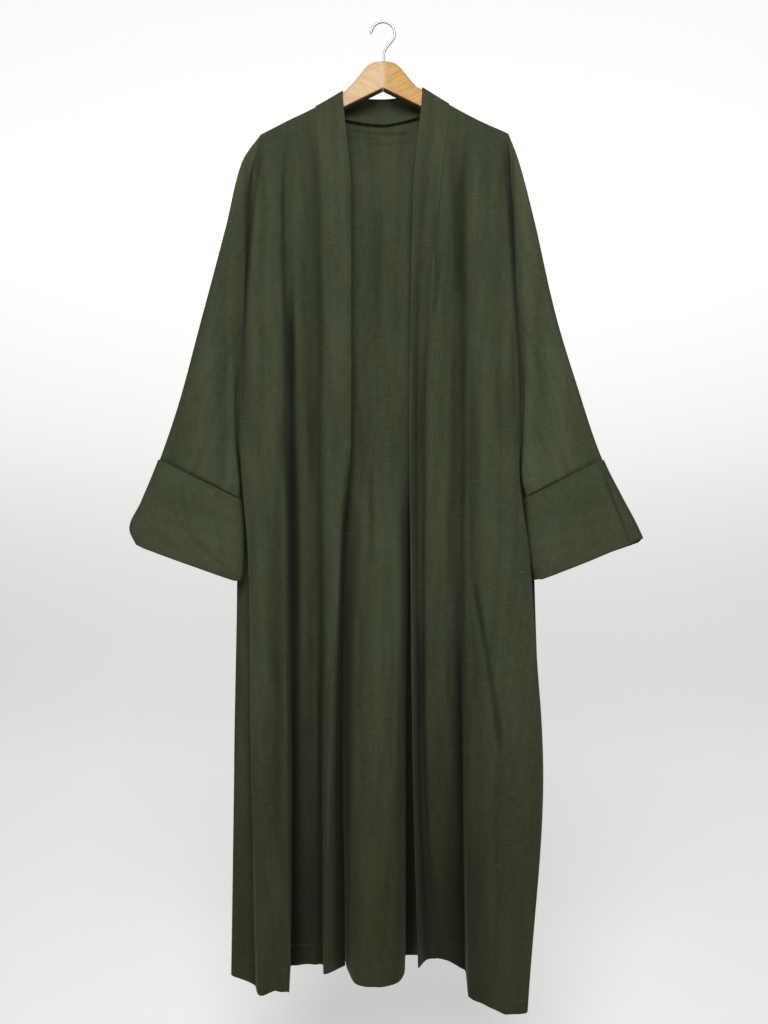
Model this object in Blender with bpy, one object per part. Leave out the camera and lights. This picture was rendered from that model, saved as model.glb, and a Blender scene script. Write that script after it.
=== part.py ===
"""A long open-front kimono on a wooden hanger, each sewn piece a thin wall of cloth.

Sizes in the tables are millimetres. "out" is how far a point stands in front of the hanger's
middle plane, so it runs along -Y, and "drop" is how far it lies below the hook's inner top.
Left and right are as seen from the front.
"""

import bpy
import bmesh
import math
from collections import namedtuple

import numpy as np

MM = 0.001

# Cloth
CLOTH_WALL = 1.5
BAND_WALL = 2.0
CUFF_WALL = 2.0
SEAM_GAP = 0.3

# Where three pieces meet, a seam opens a little more, fading along the seam
CORNER_GAP = 0.9
CORNER_FADE = 22.0

# Heights of the sections that the fold tables give, as drops below the hook
CHEST = 280.0
UNDERARM = 660.0
TUCK = 700.0
CUFF = 850.0
KNEE = 1150.0
HEM = 1484.0

# The hem doesn't hang level: how much lower than its drop it is, across the width
HemPoint = namedtuple("HemPoint", "x extra")
HEM_SAG = (
    HemPoint(-240.0, 3.0),
    HemPoint(-150.0, 3.5),
    HemPoint(-125.0, 0.0),
    HemPoint(-58.0, 0.0),
    HemPoint(-42.0, 2.5),
    HemPoint(22.0, 2.5),
    HemPoint(38.0, 0.0),
    HemPoint(100.0, 0.0),
    HemPoint(140.0, 10.5),
    HemPoint(230.0, 10.5),
)

# How the cloth bends over the hanger's arm: steps of (share of the depth, drop)
ArmRoll = namedtuple("ArmRoll", "depth_share drop")
ARM_ROLL = (
    ArmRoll(0.00, 0.0),
    ArmRoll(0.56, 0.6),
    ArmRoll(0.92, 4.0),
    ArmRoll(1.00, 11.0),
)
ROLL_FOOT = ARM_ROLL[-1].drop

# Drops of the rows below the shoulder roll; the underarm point lies on one of them
ROW_DROPS = (
    215, 255, 310, 380, 450, 520, 590, 640, 654, UNDERARM,
    680, 715, 765, 820, 880, 960, 1050, 1140, 1230, 1320, 1400, 1455, HEM,
)
ROW_LEVEL_TOP = 155.0
ROW_LEVEL_DONE = 380.0
UNDERARM_ROW = len(ARM_ROLL) + ROW_DROPS.index(UNDERARM)

# Shoulder lines, from the neck's free edge out to the end of the shoulder
ShoulderPoint = namedtuple("ShoulderPoint", "x drop")
LEFT_SHOULDER = (
    ShoulderPoint(-192.0, 177.6),
    ShoulderPoint(-150.0, 156.0),
    ShoulderPoint(-105.6, 134.4),
    ShoulderPoint(-63.0, 110.0),
)
RIGHT_SHOULDER = (
    ShoulderPoint(61.5, 104.5),
    ShoulderPoint(104.0, 130.4),
    ShoulderPoint(150.0, 155.0),
    ShoulderPoint(187.0, 171.6),
    ShoulderPoint(196.6, 176.0),
)

# Back neck: the seam under the stand collar and the collar's free edge
NeckPoint = namedtuple("NeckPoint", "x out drop")
NECK_SEAM = (
    NeckPoint(-105.6, 0.0, 134.4),
    NeckPoint(-100.0, -5.0, 131.0),
    NeckPoint(-94.0, -8.6, 132.0),
    NeckPoint(-85.0, -11.0, 135.0),
    NeckPoint(-60.0, -16.0, 143.4),
    NeckPoint(0.0, -22.0, 148.8),
    NeckPoint(28.0, -20.5, 145.0),
    NeckPoint(57.0, -16.0, 139.0),
    NeckPoint(84.0, -11.0, 132.0),
    NeckPoint(92.5, -8.6, 128.0),
    NeckPoint(98.5, -5.0, 127.0),
    NeckPoint(104.0, 0.0, 130.4),
)
CollarPoint = namedtuple("CollarPoint", "share x out drop")
COLLAR_EDGE = (
    CollarPoint(0.00, -63.0, 0.0, 110.0),
    CollarPoint(0.055, -62.0, -5.2, 110.2),
    CollarPoint(0.11, -60.0, -9.0, 111.0),
    CollarPoint(0.17, -56.5, -11.5, 111.6),
    CollarPoint(0.28, -40.0, -16.0, 111.0),
    CollarPoint(0.50, 0.0, -20.0, 110.8),
    CollarPoint(0.72, 39.0, -16.0, 108.0),
    CollarPoint(0.83, 55.0, -11.5, 106.0),
    CollarPoint(0.89, 58.5, -9.0, 105.0),
    CollarPoint(0.945, 60.5, -5.2, 104.5),
    CollarPoint(1.00, 61.5, 0.0, 104.5),
)
COLLAR_BULGE = 4.0
COLLAR_BULGE_FADE = 6.0

# Fold lines run down the cloth; cells is how many strips lie between a line and the next
FoldLine = namedtuple("FoldLine", (
    "name cells top_x top_out chest_x chest_out underarm_x underarm_out tuck_x tuck_out "
    "cuff_x cuff_out knee_x knee_out hem_x hem_out"
))
LEFT_FRONT = (
    FoldLine("side seam", 2, -192, 9, -213, 3.5, -229, -3.75, -227, -19, -221, -26, -221, -25, -218, -22),
    FoldLine("side edge", 2, -188, 9, -209, 8, -228.5, 2, -237.5, -14, -233, -20, -235, -5, -235, 24),
    FoldLine("side recess", 2, -184, 9, -203, 7.5, -226.5, 8, -223, -5, -207, -9, -204, 10, -196, 54),
    FoldLine("side ridge", 3, -179, 9, -196, 12.5, -222.5, 13, -221, 15, -209.5, 18, -202, 38, -181, 84),
    FoldLine("fold face", 2, -168, 9, -176, 15, -187, 21, -186, 23, -181, 30, -175, 50, -160, 75),
    FoldLine("fold shoulder", 3, -158, 9, -161, 14, -160, 17, -158, 19, -153, 25, -147, 45, -140, 82),
    FoldLine("deep valley", 2, -148, 9, -154, 10, -143, 4, -142.5, 2, -142, -4, -143.5, -5, -146, 4),
    FoldLine("flat run", 2, -133, 9, -130, 13, -123, 12, -122, 11, -119, 8, -119, 3, -118, 3),
    FoldLine("soft valley", 2, -118, 9, -109, 9, -103, 5, -103, 5, -101, 3, -98, 1, -95, 3),
    FoldLine("band seam", 0, -105.6, 9, -96, 12, -91, 11, -91, 11, -90, 12, -89, 15, -88, 20),
)
LEFT_BAND = (
    FoldLine("band seam", 1, -105.6, 9, -96, 12, -91, 11, -91, 11, -90, 12, -89, 15, -88, 20),
    FoldLine("band middle", 1, -91, 9, -80, 14, -77, 13.5, -77, 14, -76, 17, -82, 23, -87.5, 25),
    FoldLine("band crease", 2, -77, 9, -64, 15, -62, 14, -62, 15, -62, 20, -74, 30, -86, 30),
    FoldLine("free edge", 0, -63, 9, -49.6, 14, -49, 12, -50, 10, -57, 4, -66, 6, -63, 4),
)
RIGHT_FRONT = (
    FoldLine("side seam", 2, 196.6, 9, 204, 3.5, 217.6, -3.75, 219, -19, 233, -26, 238, -14, 224, 18),
    FoldLine("side edge", 2, 193, 9, 201, 8, 217.5, 2, 227, -14, 241, -19, 245, 10, 217, 68),
    FoldLine("side recess", 2, 189, 9, 197.5, 8, 216, 8, 214, -5, 228, -8, 247, 28, 213, 93),
    FoldLine("side ridge", 3, 184, 9, 192, 12, 213, 13, 212.5, 14, 229, 20, 241, 47, 207, 117),
    FoldLine("fold face outer", 2, 170, 9, 175, 16, 188, 20, 188, 22, 192, 31, 200, 60, 180, 121),
    FoldLine("fold face inner", 2, 155, 9, 152, 17, 155, 21, 155, 22, 155, 30, 160, 54, 146, 98),
    FoldLine("fold shoulder", 3, 143, 9, 134, 14, 133, 14, 133, 15, 131, 19, 129, 40, 127.5, 82),
    FoldLine("deep valley", 2, 132, 9, 121, 8, 120, 3.5, 119.5, 3, 118, 3, 126, -2, 130, 11),
    FoldLine("flat run", 2, 118, 9, 106, 10.5, 100, 10, 99, 10, 97, 8, 98, -2, 103, -11),
    FoldLine("band seam", 0, 104, 9, 89, 10, 69.8, 8, 69.5, 7, 67.7, 3, 70, -4, 85, -17),
)
RIGHT_BAND = (
    FoldLine("band seam", 1, 104, 9, 89, 10, 69.8, 8, 69.5, 7, 67.7, 3, 70, -4, 85, -17),
    FoldLine("band middle", 1, 90, 9, 79, 8, 64, 0, 64, -1, 64, -4, 66, -10, 79, -17),
    FoldLine("band trough", 2, 76, 9, 66, 8, 57, -5, 57, -5.5, 58, -8, 60, -12, 72, -15),
    FoldLine("free edge", 0, 61.5, 9, 46.8, 14, 42, 18, 42, 18, 43.6, 16, 46.8, 14, 55.4, 12),
)
BACK = (
    FoldLine("left seam", 2, -192, -9, -213, -11, -229, -3.75, -227, -19, -221, -26, -221, -25, -218, -22),
    FoldLine("left edge", 2, -172, -9, -198, -14, -212, -16, -212, -22, -205, -28, -205, -29, -196, -29),
    FoldLine("left trough", 2, -150, -9, -165, -13, -172, -15, -173, -15, -178, -16, -178, -12, -178, -8),
    FoldLine("left swell", 2, -128, -9, -128, -15, -126, -19, -126, -20, -125, -25, -122, -29, -122, -29),
    FoldLine("left neck corner", 3, -105.6, -9, -98, -14, -95, -18, -95, -19, -94, -24, -92, -28, -90, -29),
    FoldLine("fold root left", 2, -88, -13, -65, -15, -68, -18, -68, -18, -69, -20, -70, -22, -66, -27),
    FoldLine("fold flank left", 2, -64, -17, -46, -15, -49, -16, -49, -15, -52, -8, -55, 5, -54, 19),
    FoldLine("fold crest left", 2, -34, -21, -25, -15, -26, -13, -27, -12, -31, 6, -36, 30, -40, 55),
    FoldLine("fold crest", 2, 0, -23, 0, -16, 0, -12, 0, -10, -1, 14, -5, 40, -12, 65),
    FoldLine("fold crest right", 2, 34, -21, 22, -15, 22, -11, 22, -9, 22, 12, 20, 33, 20, 52),
    FoldLine("fold flank right", 2, 62, -17, 40, -15, 40, -13, 39, -13, 36, -4, 33, 3, 33, 25),
    FoldLine("fold root right", 3, 86, -13, 56, -15, 54, -17, 52, -18, 44, -21, 38, -26, 36.5, -29),
    FoldLine("right neck corner", 2, 104, -9, 92, -14, 90, -18, 89, -19, 87, -25, 85, -29, 86, -29),
    FoldLine("right swell", 2, 126, -9, 125, -15, 126, -19, 126, -20, 127, -25, 128, -29, 126, -29),
    FoldLine("right trough", 2, 150, -9, 156, -13, 164, -15, 165, -15, 168, -16, 172, -12, 168, -8),
    FoldLine("right edge", 2, 176, -9, 190, -14, 200, -16, 202, -22, 214, -28, 216, -28, 200, -27),
    FoldLine("right seam", 0, 196.6, -9, 204, -11, 217.6, -3.75, 219, -19, 233, -26, 238, -14, 224, 18),
)
NECK_FIRST_LINE = 4
NECK_LAST_LINE = 12

# The armhole seam from the shoulder's end to the underarm, on the front and the back layer
ArmholePoint = namedtuple("ArmholePoint", "x drop front back")
LEFT_ARMHOLE = (
    ArmholePoint(-192.0, 188.6, 9.0, -9.0),
    ArmholePoint(-208.0, 240.0, 7.0, -9.0),
    ArmholePoint(-213.0, 280.0, 3.5, -9.0),
    ArmholePoint(-214.0, 340.0, 2.0, -9.0),
    ArmholePoint(-216.0, 440.0, 1.5, -9.0),
    ArmholePoint(-219.5, 520.0, 1.5, -9.0),
    ArmholePoint(-227.0, 600.0, 1.5, -9.0),
    ArmholePoint(-229.0, UNDERARM, 1.5, -9.0),
)
RIGHT_ARMHOLE = (
    ArmholePoint(196.6, 187.0, 9.0, -9.0),
    ArmholePoint(200.0, 240.0, 7.0, -9.0),
    ArmholePoint(205.0, 300.0, 3.5, -9.0),
    ArmholePoint(208.0, 385.0, 2.0, -9.0),
    ArmholePoint(213.5, 511.0, 1.5, -9.0),
    ArmholePoint(217.5, 600.0, 1.5, -9.0),
    ArmholePoint(217.6, UNDERARM, 1.5, -9.0),
)
ARMHOLE_FOOT_RADIUS = 10.0

# Sleeve rings from the armhole to the hand; half is half the sleeve's depth at its middle
SleeveRing = namedtuple("SleeveRing", (
    "name cells outer_x outer_drop outer_out inner_x inner_drop inner_out half lean"
))
LEFT_SLEEVE = (
    SleeveRing("armhole", 2, -192, 177.6, 0, -229, UNDERARM, -3.75, 5, 0),
    SleeveRing("shoulder bend", 2, -222, 221, -1, -234.5, 667, 0, 7, 0),
    SleeveRing("upper arm", 3, -247, 320, -1, -233.5, 684, 6.5, 9, 0),
    SleeveRing("elbow", 2, -290, 483, 0, -229, 708, 8, 11, 0),
    SleeveRing("forearm", 2, -320.5, 597, 0, -227, 731, 7, 12, 0),
    SleeveRing("cuff seam", 1, -351.5, 689, 0, -225, 751, 5, 13, 0),
    SleeveRing("cuff middle", 1, -379.5, 757, 0, -221, 813, 3, 13.5, 0),
    SleeveRing("cuff widest", 1, -397, 797, 0, -221, 860, 3, 13.5, 0),
    SleeveRing("cuff foot", 0, -387, 821, 0, -224, 878, 3, 13, 0),
)
RIGHT_SLEEVE = (
    SleeveRing("armhole", 2, 196.6, 176.0, 0, 217.6, UNDERARM, -3.75, 5, 0),
    SleeveRing("shoulder bend", 2, 213.5, 219, -1, 223.5, 667, 0, 7, 0),
    SleeveRing("upper arm", 3, 236.5, 304, -1, 222, 683, 6.5, 9, 0),
    SleeveRing("elbow", 2, 273.5, 466, 0, 219.5, 706, 8, 11, 0),
    SleeveRing("forearm", 2, 304.5, 568, 0, 221.5, 727, 7, 12, 1),
    SleeveRing("cuff seam", 1, 346, 690, 0, 225, 748, 5, 13, 6),
    SleeveRing("cuff middle", 1, 375.5, 750, 0, 230, 806, 3, 13.5, 9),
    SleeveRing("cuff widest", 1, 395, 787, 0, 236, 855, 3, 13.5, 11),
    SleeveRing("cuff foot", 0, 406.5, 812, 0, 240, 876, 3, 13, 12),
)
CUFF_SEAM_RING = 5
SLEEVE_ROUNDING = 0.35
ARMHOLE_FADE_RINGS = 3.0

# Soft fold down the front of each sleeve, beside the body
SleeveFold = namedtuple("SleeveFold", "x top_drop foot_drop depth width")
SLEEVE_FOLD_FADE = 120.0
LEFT_SLEEVE_FOLD = SleeveFold(-255.0, 380.0, 800.0, 5.0, 11.0)
RIGHT_SLEEVE_FOLD = SleeveFold(248.0, 340.0, 760.0, 3.5, 14.0)

# Cuff lying over the sleeve's end
CUFF_CLEARANCE = 0.5
CUFF_TOP_STANDS = 2.0
CUFF_BELOW_SLEEVE = 3.0

# Hanger
ARM_DEPTH = 13.0
ARM_BELOW_CLOTH = 2.2
ARM_EDGE_ROUNDING = 3.0
ARM_END_ROUNDING = 7.0
ARM_END_INSET = 4.0
ARM_END_ANGLES = (60.0, 30.0, 0.0, -30.0, -60.0, -90.0)
ARM_STEPS = 6
ARM_JOINT_SHARP_HALF = 1.0
CROWN_STEPS = 9
CrownPoint = namedtuple("CrownPoint", "x drop")
CROWN = (
    CrownPoint(0.0, 62.0),
    CrownPoint(12.0, 63.2),
    CrownPoint(18.0, 65.2),
    CrownPoint(25.0, 69.8),
    CrownPoint(34.0, 80.2),
    CrownPoint(43.5, 92.0),
    CrownPoint(53.0, 102.4),
)
VEE_TOP = 106.3
VEE_AT_NECK = 137.0
NECK_HALF = 63.0
ARM_END_HEIGHT = 15.0

HOOK_WIRE = 3.5
HOOK_RADIUS = 18.5
HOOK_ARC_ANGLES = tuple(range(-24, 176, 12))
HOOK_ROUNDING = 2
HookPoint = namedtuple("HookPoint", "x drop")
HOOK_STEM = (
    HookPoint(1.5, 61.7),
    HookPoint(1.5, 56.7),
    HookPoint(1.5, 48.0),
    HookPoint(2.7, 43.0),
    HookPoint(4.6, 40.0),
    HookPoint(10.5, 32.4),
    HookPoint(14.4, 27.8),
)
HOOK_TIP = HookPoint(-20.8, 15.3)

Finish = namedtuple("Finish", "color roughness metallic")
FINISHES = {
    "cloth": Finish((0.050, 0.058, 0.032, 1.0), 0.85, 0.0),
    "collar_cloth": Finish((0.040, 0.046, 0.026, 1.0), 0.85, 0.0),
    "light_wood": Finish((0.80, 0.58, 0.36, 1.0), 0.45, 0.0),
    "warm_wood": Finish((0.64, 0.39, 0.16, 1.0), 0.45, 0.0),
    "chrome": Finish((0.72, 0.73, 0.74, 1.0), 0.15, 1.0),
}


def smooth_step(value):
    value = min(1.0, max(0.0, value))
    return value * value * (3.0 - 2.0 * value)


def smooth_through(knots, values, place):
    """A curve through the values that never swings past them, read at one place."""
    knots = [float(knot) for knot in knots]
    if knots[0] > knots[-1]:
        knots = knots[::-1]
        values = values[::-1]
    place = min(knots[-1], max(knots[0], place))
    steps = [max(1e-9, b - a) for a, b in zip(knots, knots[1:])]
    slopes = [(b - a) / step for a, b, step in zip(values, values[1:], steps)]
    tangents = [slopes[0]]
    for before, after in zip(slopes, slopes[1:]):
        tangents.append(0.0 if before * after <= 0.0 else 2.0 * before * after / (before + after))
    tangents.append(slopes[-1])
    index = 0
    while index < len(steps) - 1 and place > knots[index + 1]:
        index += 1
    step = steps[index]
    t = (place - knots[index]) / step
    start = (1.0 + 2.0 * t) * (1.0 - t) ** 2 * values[index]
    end = t * t * (3.0 - 2.0 * t) * values[index + 1]
    lean_in = t * (1.0 - t) ** 2 * step * tangents[index]
    lean_out = t * t * (t - 1.0) * step * tangents[index + 1]
    return start + end + lean_in + lean_out


def read_table(rows, key, field, place):
    """One column of a table, read smoothly at a place of the key column."""
    knots = [getattr(row, key) for row in rows]
    values = [getattr(row, field) for row in rows]
    return smooth_through(knots, values, place)


def point(x, out, drop):
    return np.array((x, -out, -drop)) * MM


def unit(vectors):
    lengths = np.linalg.norm(vectors, axis=-1, keepdims=True)
    return vectors / np.maximum(lengths, 1e-12)


def shoulder_drop(x):
    rows = LEFT_SHOULDER if x < 0.0 else RIGHT_SHOULDER
    return read_table(rows, "x", "drop", x)


def armhole_at(rows, layer, drop):
    """The armhole seam's x and out, closing to a rounded foot at the underarm."""
    x = read_table(rows, "drop", "x", drop)
    front = read_table(rows, "drop", "front", drop)
    back = read_table(rows, "drop", "back", drop)
    middle = 0.5 * (front + back)
    above = min(1.0, max(0.0, (UNDERARM - drop) / ARMHOLE_FOOT_RADIUS))
    half = 0.5 * (front - back) * math.sqrt(1.0 - (1.0 - above) ** 2)
    return x, middle + half if layer == "front" else middle - half


def line_at(line, foot, drop):
    """A fold line's x and out at a drop."""
    knots = (foot, CHEST, UNDERARM, TUCK, CUFF, KNEE, HEM)
    xs = (line.top_x, line.chest_x, line.underarm_x, line.tuck_x, line.cuff_x, line.knee_x, line.hem_x)
    outs = (
        line.top_out, line.chest_out, line.underarm_out, line.tuck_out,
        line.cuff_out, line.knee_out, line.hem_out,
    )
    return smooth_through(knots, xs, drop), smooth_through(knots, outs, drop)


def top_of(x, layer):
    """Where a column starts: on the shoulder line, or for the back's middle on the neck seam."""
    if layer == "back" and NECK_SEAM[0].x < x < NECK_SEAM[-1].x:
        return read_table(NECK_SEAM, "x", "out", x), read_table(NECK_SEAM, "x", "drop", x)
    return 0.0, shoulder_drop(x)


def hem_extra(x):
    return read_table(HEM_SAG, "x", "extra", x)


def column_places(lines):
    """Every column as a line index with a fraction, one for each strip's edge."""
    places = []
    for index, line in enumerate(lines[:-1]):
        places += [index + step / line.cells for step in range(line.cells)]
    return places + [len(lines) - 1.0]


def across(positions, place):
    """A smooth section through the fold lines' points, read at one column."""
    lengths = [0.0]
    for a, b in zip(positions, positions[1:]):
        lengths.append(lengths[-1] + max(0.01, math.dist(a, b)))
    index = min(int(place), len(positions) - 2)
    reach = lengths[index] + (place - index) * (lengths[index + 1] - lengths[index])
    x = smooth_through(lengths, [position[0] for position in positions], reach)
    out = smooth_through(lengths, [position[1] for position in positions], reach)
    return x, out


def panel_points(lines, layer, seam_readers):
    """Grid of middle points of a body panel, rows from the top edge to the hem."""
    feet = [top_of(line.top_x, layer)[1] + ROLL_FOOT for line in lines]

    def section(drop):
        positions = []
        for index, line in enumerate(lines):
            if index in seam_readers and drop < UNDERARM:
                positions.append(armhole_at(seam_readers[index], layer, drop))
            else:
                positions.append(line_at(line, feet[index], drop))
        return positions

    columns = []
    for place in column_places(lines):
        tops = [(line.top_x, line.top_out) for line in lines]
        top_x, top_out = across(tops, place)
        hem_x = across([(line.hem_x, line.hem_out) for line in lines], place)[0]
        start_out, start_drop = top_of(top_x, layer)
        column = []
        for step in ARM_ROLL:
            out = start_out + (top_out - start_out) * step.depth_share
            column.append(point(top_x, out, start_drop + step.drop))
        for row in ROW_DROPS:
            share = smooth_step((row - ROW_LEVEL_TOP) / (ROW_LEVEL_DONE - ROW_LEVEL_TOP))
            drop = row + (start_drop - ROW_LEVEL_TOP) * (1.0 - share)
            x, out = across(section(drop), place)
            drop += hem_extra(hem_x) * smooth_step((row - KNEE) / (HEM - KNEE))
            column.append(point(x, out, drop))
        columns.append(column)
    return np.array(columns).transpose(1, 0, 2)


def neck_columns():
    """The back panel's columns that end on the neck seam."""
    places = column_places(BACK)
    first = places.index(float(NECK_FIRST_LINE))
    last = places.index(float(NECK_LAST_LINE))
    return first, last


def collar_points(back, band_left, band_right):
    """The stand collar, from one shoulder's band end round the back neck to the other's."""
    first, last = neck_columns()
    seam = back[0, first:last + 1]
    strips = band_left.shape[1]
    rows = []
    for index, start in enumerate(seam):
        share = index / (len(seam) - 1.0)
        edge = point(*(read_table(COLLAR_EDGE, "share", field, share) for field in ("x", "out", "drop")))
        bulge = COLLAR_BULGE * MM * smooth_step(COLLAR_BULGE_FADE * min(share, 1.0 - share))
        strip = []
        for step in range(strips):
            part = step / (strips - 1.0)
            middle = start + (edge - start) * part
            middle[1] += bulge * math.sin(math.pi * part)
            strip.append(middle)
        rows.append(strip)
    rows[0] = list(band_left[0])
    rows[-1] = list(band_right[0])
    return np.array(rows)


def sleeve_reader(rings):
    """The sleeve's table as smooth functions of how far along the outer edge a ring is."""
    lengths = [0.0]
    for a, b in zip(rings, rings[1:]):
        lengths.append(lengths[-1] + math.dist((a.outer_x, a.outer_drop), (b.outer_x, b.outer_drop)))

    def read(place, field):
        index = min(int(place), len(rings) - 2)
        reach = lengths[index] + (place - index) * (lengths[index + 1] - lengths[index])
        return smooth_through(lengths, [getattr(ring, field) for ring in rings], reach)

    return read


def sleeve_points(rings, fold, front, back, front_column, back_column):
    """Grid of middle points of a sleeve: rings from the armhole, closed from outer edge to outer edge."""
    armhole_front = front[:UNDERARM_ROW + 1, front_column] / MM
    armhole_back = back[:UNDERARM_ROW + 1, back_column] / MM
    rows = UNDERARM_ROW
    run = np.linalg.norm(np.diff(armhole_front, axis=0), axis=1)
    seam_shares = np.concatenate(((0.0,), np.cumsum(run) / run.sum()))
    read = sleeve_reader(rings)
    start = armhole_front[0]
    end = armhole_front[-1]
    grid = []
    for place in column_places(rings):
        settle = smooth_step(place / ARMHOLE_FADE_RINGS)
        spread = smooth_step(place / CUFF_SEAM_RING)
        outer = np.array((read(place, "outer_x"), -read(place, "outer_out"), -read(place, "outer_drop")))
        inner = np.array((read(place, "inner_x"), -read(place, "inner_out"), -read(place, "inner_drop")))
        half = read(place, "half")
        lean = read(place, "lean")
        side = 1.0 if outer[0] > 0.0 else -1.0
        ring = []
        for layer, armhole in ((1.0, armhole_front), (-1.0, armhole_back)):
            order = range(rows + 1) if layer > 0.0 else range(rows - 1, -1, -1)
            for row in order:
                even = 0.5 - 0.5 * math.cos(math.pi * row / rows)
                share = seam_shares[row] + (even - seam_shares[row]) * spread
                middle = outer + (inner - outer) * share
                depth = half * (4.0 * share * (1.0 - share)) ** SLEEVE_ROUNDING
                middle[0] -= side * lean * layer * (depth / half) * (1.0 - share) ** 3
                fold_run = smooth_step((-middle[2] - fold.top_drop) / SLEEVE_FOLD_FADE)
                fold_run *= smooth_step((fold.foot_drop + middle[2]) / SLEEVE_FOLD_FADE)
                trough = fold.depth * fold_run * math.exp(-((middle[0] - fold.x) / fold.width) ** 2)
                middle[1] -= layer * depth
                if layer > 0.0:
                    middle[1] += trough
                straight = start + (end - start) * seam_shares[row]
                bend = armhole[row] - straight
                seam_place = middle + np.array((bend[0], 0.0, bend[2])) * (1.0 - settle)
                seam_place[1] = armhole[row][1] + (middle[1] - armhole[row][1]) * settle
                ring.append(armhole[row] if place == 0.0 else seam_place)
        grid.append(ring)
    return np.array(grid) * MM


def outward(points, sign, closed=False):
    """Unit normals of a grid, pointing away from the garment's hollow."""
    down = np.gradient(points, axis=0)
    if closed:
        ring = points[:, :-1]
        along = np.roll(ring, -1, axis=1) - np.roll(ring, 1, axis=1)
        along = np.concatenate((along, along[:, :1]), axis=1)
    else:
        along = np.gradient(points, axis=1)
    return unit(np.cross(down, along) * sign)


def share_normals(first, second):
    """Both sides of a seam get one normal, so their cut edges stay parallel."""
    mean = unit(first + second)
    first[...] = mean
    second[...] = mean


def corner_openings(line, corners):
    """How far each point of a seam line is drawn in, with more at the corners."""
    distances = []
    for place in line:
        nearest = min(np.linalg.norm(place - line[corner]) for corner in corners) / MM
        extra = CORNER_GAP * (1.0 - smooth_step(nearest / CORNER_FADE))
        distances.append(0.5 * SEAM_GAP + extra)
    return np.array(distances)[:, None] * MM


def draw_in(points, edge, distance):
    """Moves one edge of a grid back along the cloth, which opens the seam's gap."""
    rows = {"top": (0, 1), "foot": (-1, -2)}
    columns = {"first": (0, 1), "last": (-1, -2)}
    if edge in rows:
        at, inner = rows[edge]
        points[at] += unit(points[inner] - points[at]) * distance
    else:
        at, inner = columns[edge]
        points[:, at] += unit(points[:, inner] - points[:, at]) * distance


def new_material(name):
    finish = FINISHES[name]
    material = bpy.data.materials.new(name)
    material.use_nodes = True
    shader = material.node_tree.nodes["Principled BSDF"]
    shader.inputs["Base Color"].default_value = finish.color
    shader.inputs["Roughness"].default_value = finish.roughness
    shader.inputs["Metallic"].default_value = finish.metallic
    material.diffuse_color = finish.color
    return material


def link_object(name, data, material, parent):
    item = bpy.data.objects.new(name, data)
    bpy.context.scene.collection.objects.link(item)
    if material is not None:
        data.materials.append(material)
    item.parent = parent
    return item


def split_rims(bm, inner, row_of, column_of):
    """Cuts the wall's rim faces in two, the same way on both sides of a seam."""
    for face in [face for face in bm.faces if len(face.verts) == 4]:
        outer = [vert for vert in face.verts if vert not in inner]
        start = max(outer, key=lambda vert: vert.co.z + 0.5 * vert.co.x)
        ends = [vert for vert in face.verts if vert in inner
                and (vert[row_of], vert[column_of]) != (start[row_of], start[column_of])]
        bmesh.utils.face_split(face, start, ends[0])


def cloth_wall(name, outside, inside, material, parent, closed=False):
    """A closed thin wall between two grids of points, made from one sheet drawn out."""
    rows, columns = outside.shape[:2]
    bm = bmesh.new()
    row_of = bm.verts.layers.int.new("row")
    column_of = bm.verts.layers.int.new("column")
    bmesh.ops.create_grid(bm, x_segments=columns - 1, y_segments=rows - 1, size=1.0)
    for vert in bm.verts:
        vert[column_of] = round((vert.co.x + 1.0) * 0.5 * (columns - 1))
        vert[row_of] = round((1.0 - vert.co.y) * 0.5 * (rows - 1))
    bmesh.ops.triangulate(bm, faces=bm.faces[:], quad_method="FIXED")
    for vert in bm.verts:
        vert.co = outside[vert[row_of], vert[column_of]]
    if closed:
        pairs = {}
        for vert in bm.verts:
            if vert[column_of] in (0, columns - 1):
                pairs.setdefault(vert[row_of], {})[vert[column_of]] = vert
        targets = {pair[columns - 1]: pair[0] for pair in pairs.values()}
        bmesh.ops.weld_verts(bm, targetmap=targets)
    drawn = bmesh.ops.extrude_face_region(bm, geom=bm.faces[:], use_keep_orig=True)
    inner = {item for item in drawn["geom"] if isinstance(item, bmesh.types.BMVert)}
    for vert in inner:
        vert.co = inside[vert[row_of], vert[column_of]]
    split_rims(bm, inner, row_of, column_of)
    bmesh.ops.recalc_face_normals(bm, faces=bm.faces[:])
    if bm.calc_volume(signed=True) < 0.0:
        bmesh.ops.reverse_faces(bm, faces=bm.faces[:])
    mesh = bpy.data.meshes.new(name)
    bm.to_mesh(mesh)
    bm.free()
    mesh.shade_smooth()
    mesh.set_sharp_from_angle(angle=math.radians(50.0))
    return link_object(name, mesh, material, parent)


def wall_from_middle(name, points, normals, wall, material, parent, closed=False):
    half = 0.5 * wall * MM
    return cloth_wall(name, points + normals * half, points - normals * half, material, parent, closed)


def make_cuff(name, sleeve, normals, material, parent):
    """The turned-back cuff: the sleeve's last rings moved out, its top edge standing free."""
    first = column_places(LEFT_SLEEVE).index(float(CUFF_SEAM_RING))
    points = sleeve[first:].copy()
    outs = normals[first:].copy()
    points[-1] += unit(points[-1] - points[-2]) * CUFF_BELOW_SLEEVE * MM
    count = len(points)
    inner = 0.5 * CLOTH_WALL + CUFF_CLEARANCE
    stands = np.array([inner + CUFF_TOP_STANDS * (1.0 - smooth_step(2.0 * row / (count - 1.0)))
                       for row in range(count)])
    inside = points + outs * (stands * MM)[:, None, None]
    outside = inside + outs * CUFF_WALL * MM
    return cloth_wall(name, outside, inside, material, parent, closed=True)


def crown_outline(side):
    """The hanger's upper edge from the middle to where the straight arm starts."""
    outline = []
    for step in range(CROWN_STEPS + 1):
        x = CROWN[-1].x * step / CROWN_STEPS
        outline.append((x * side, float(read_table(CROWN, "x", "drop", x))))
    return outline


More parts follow.
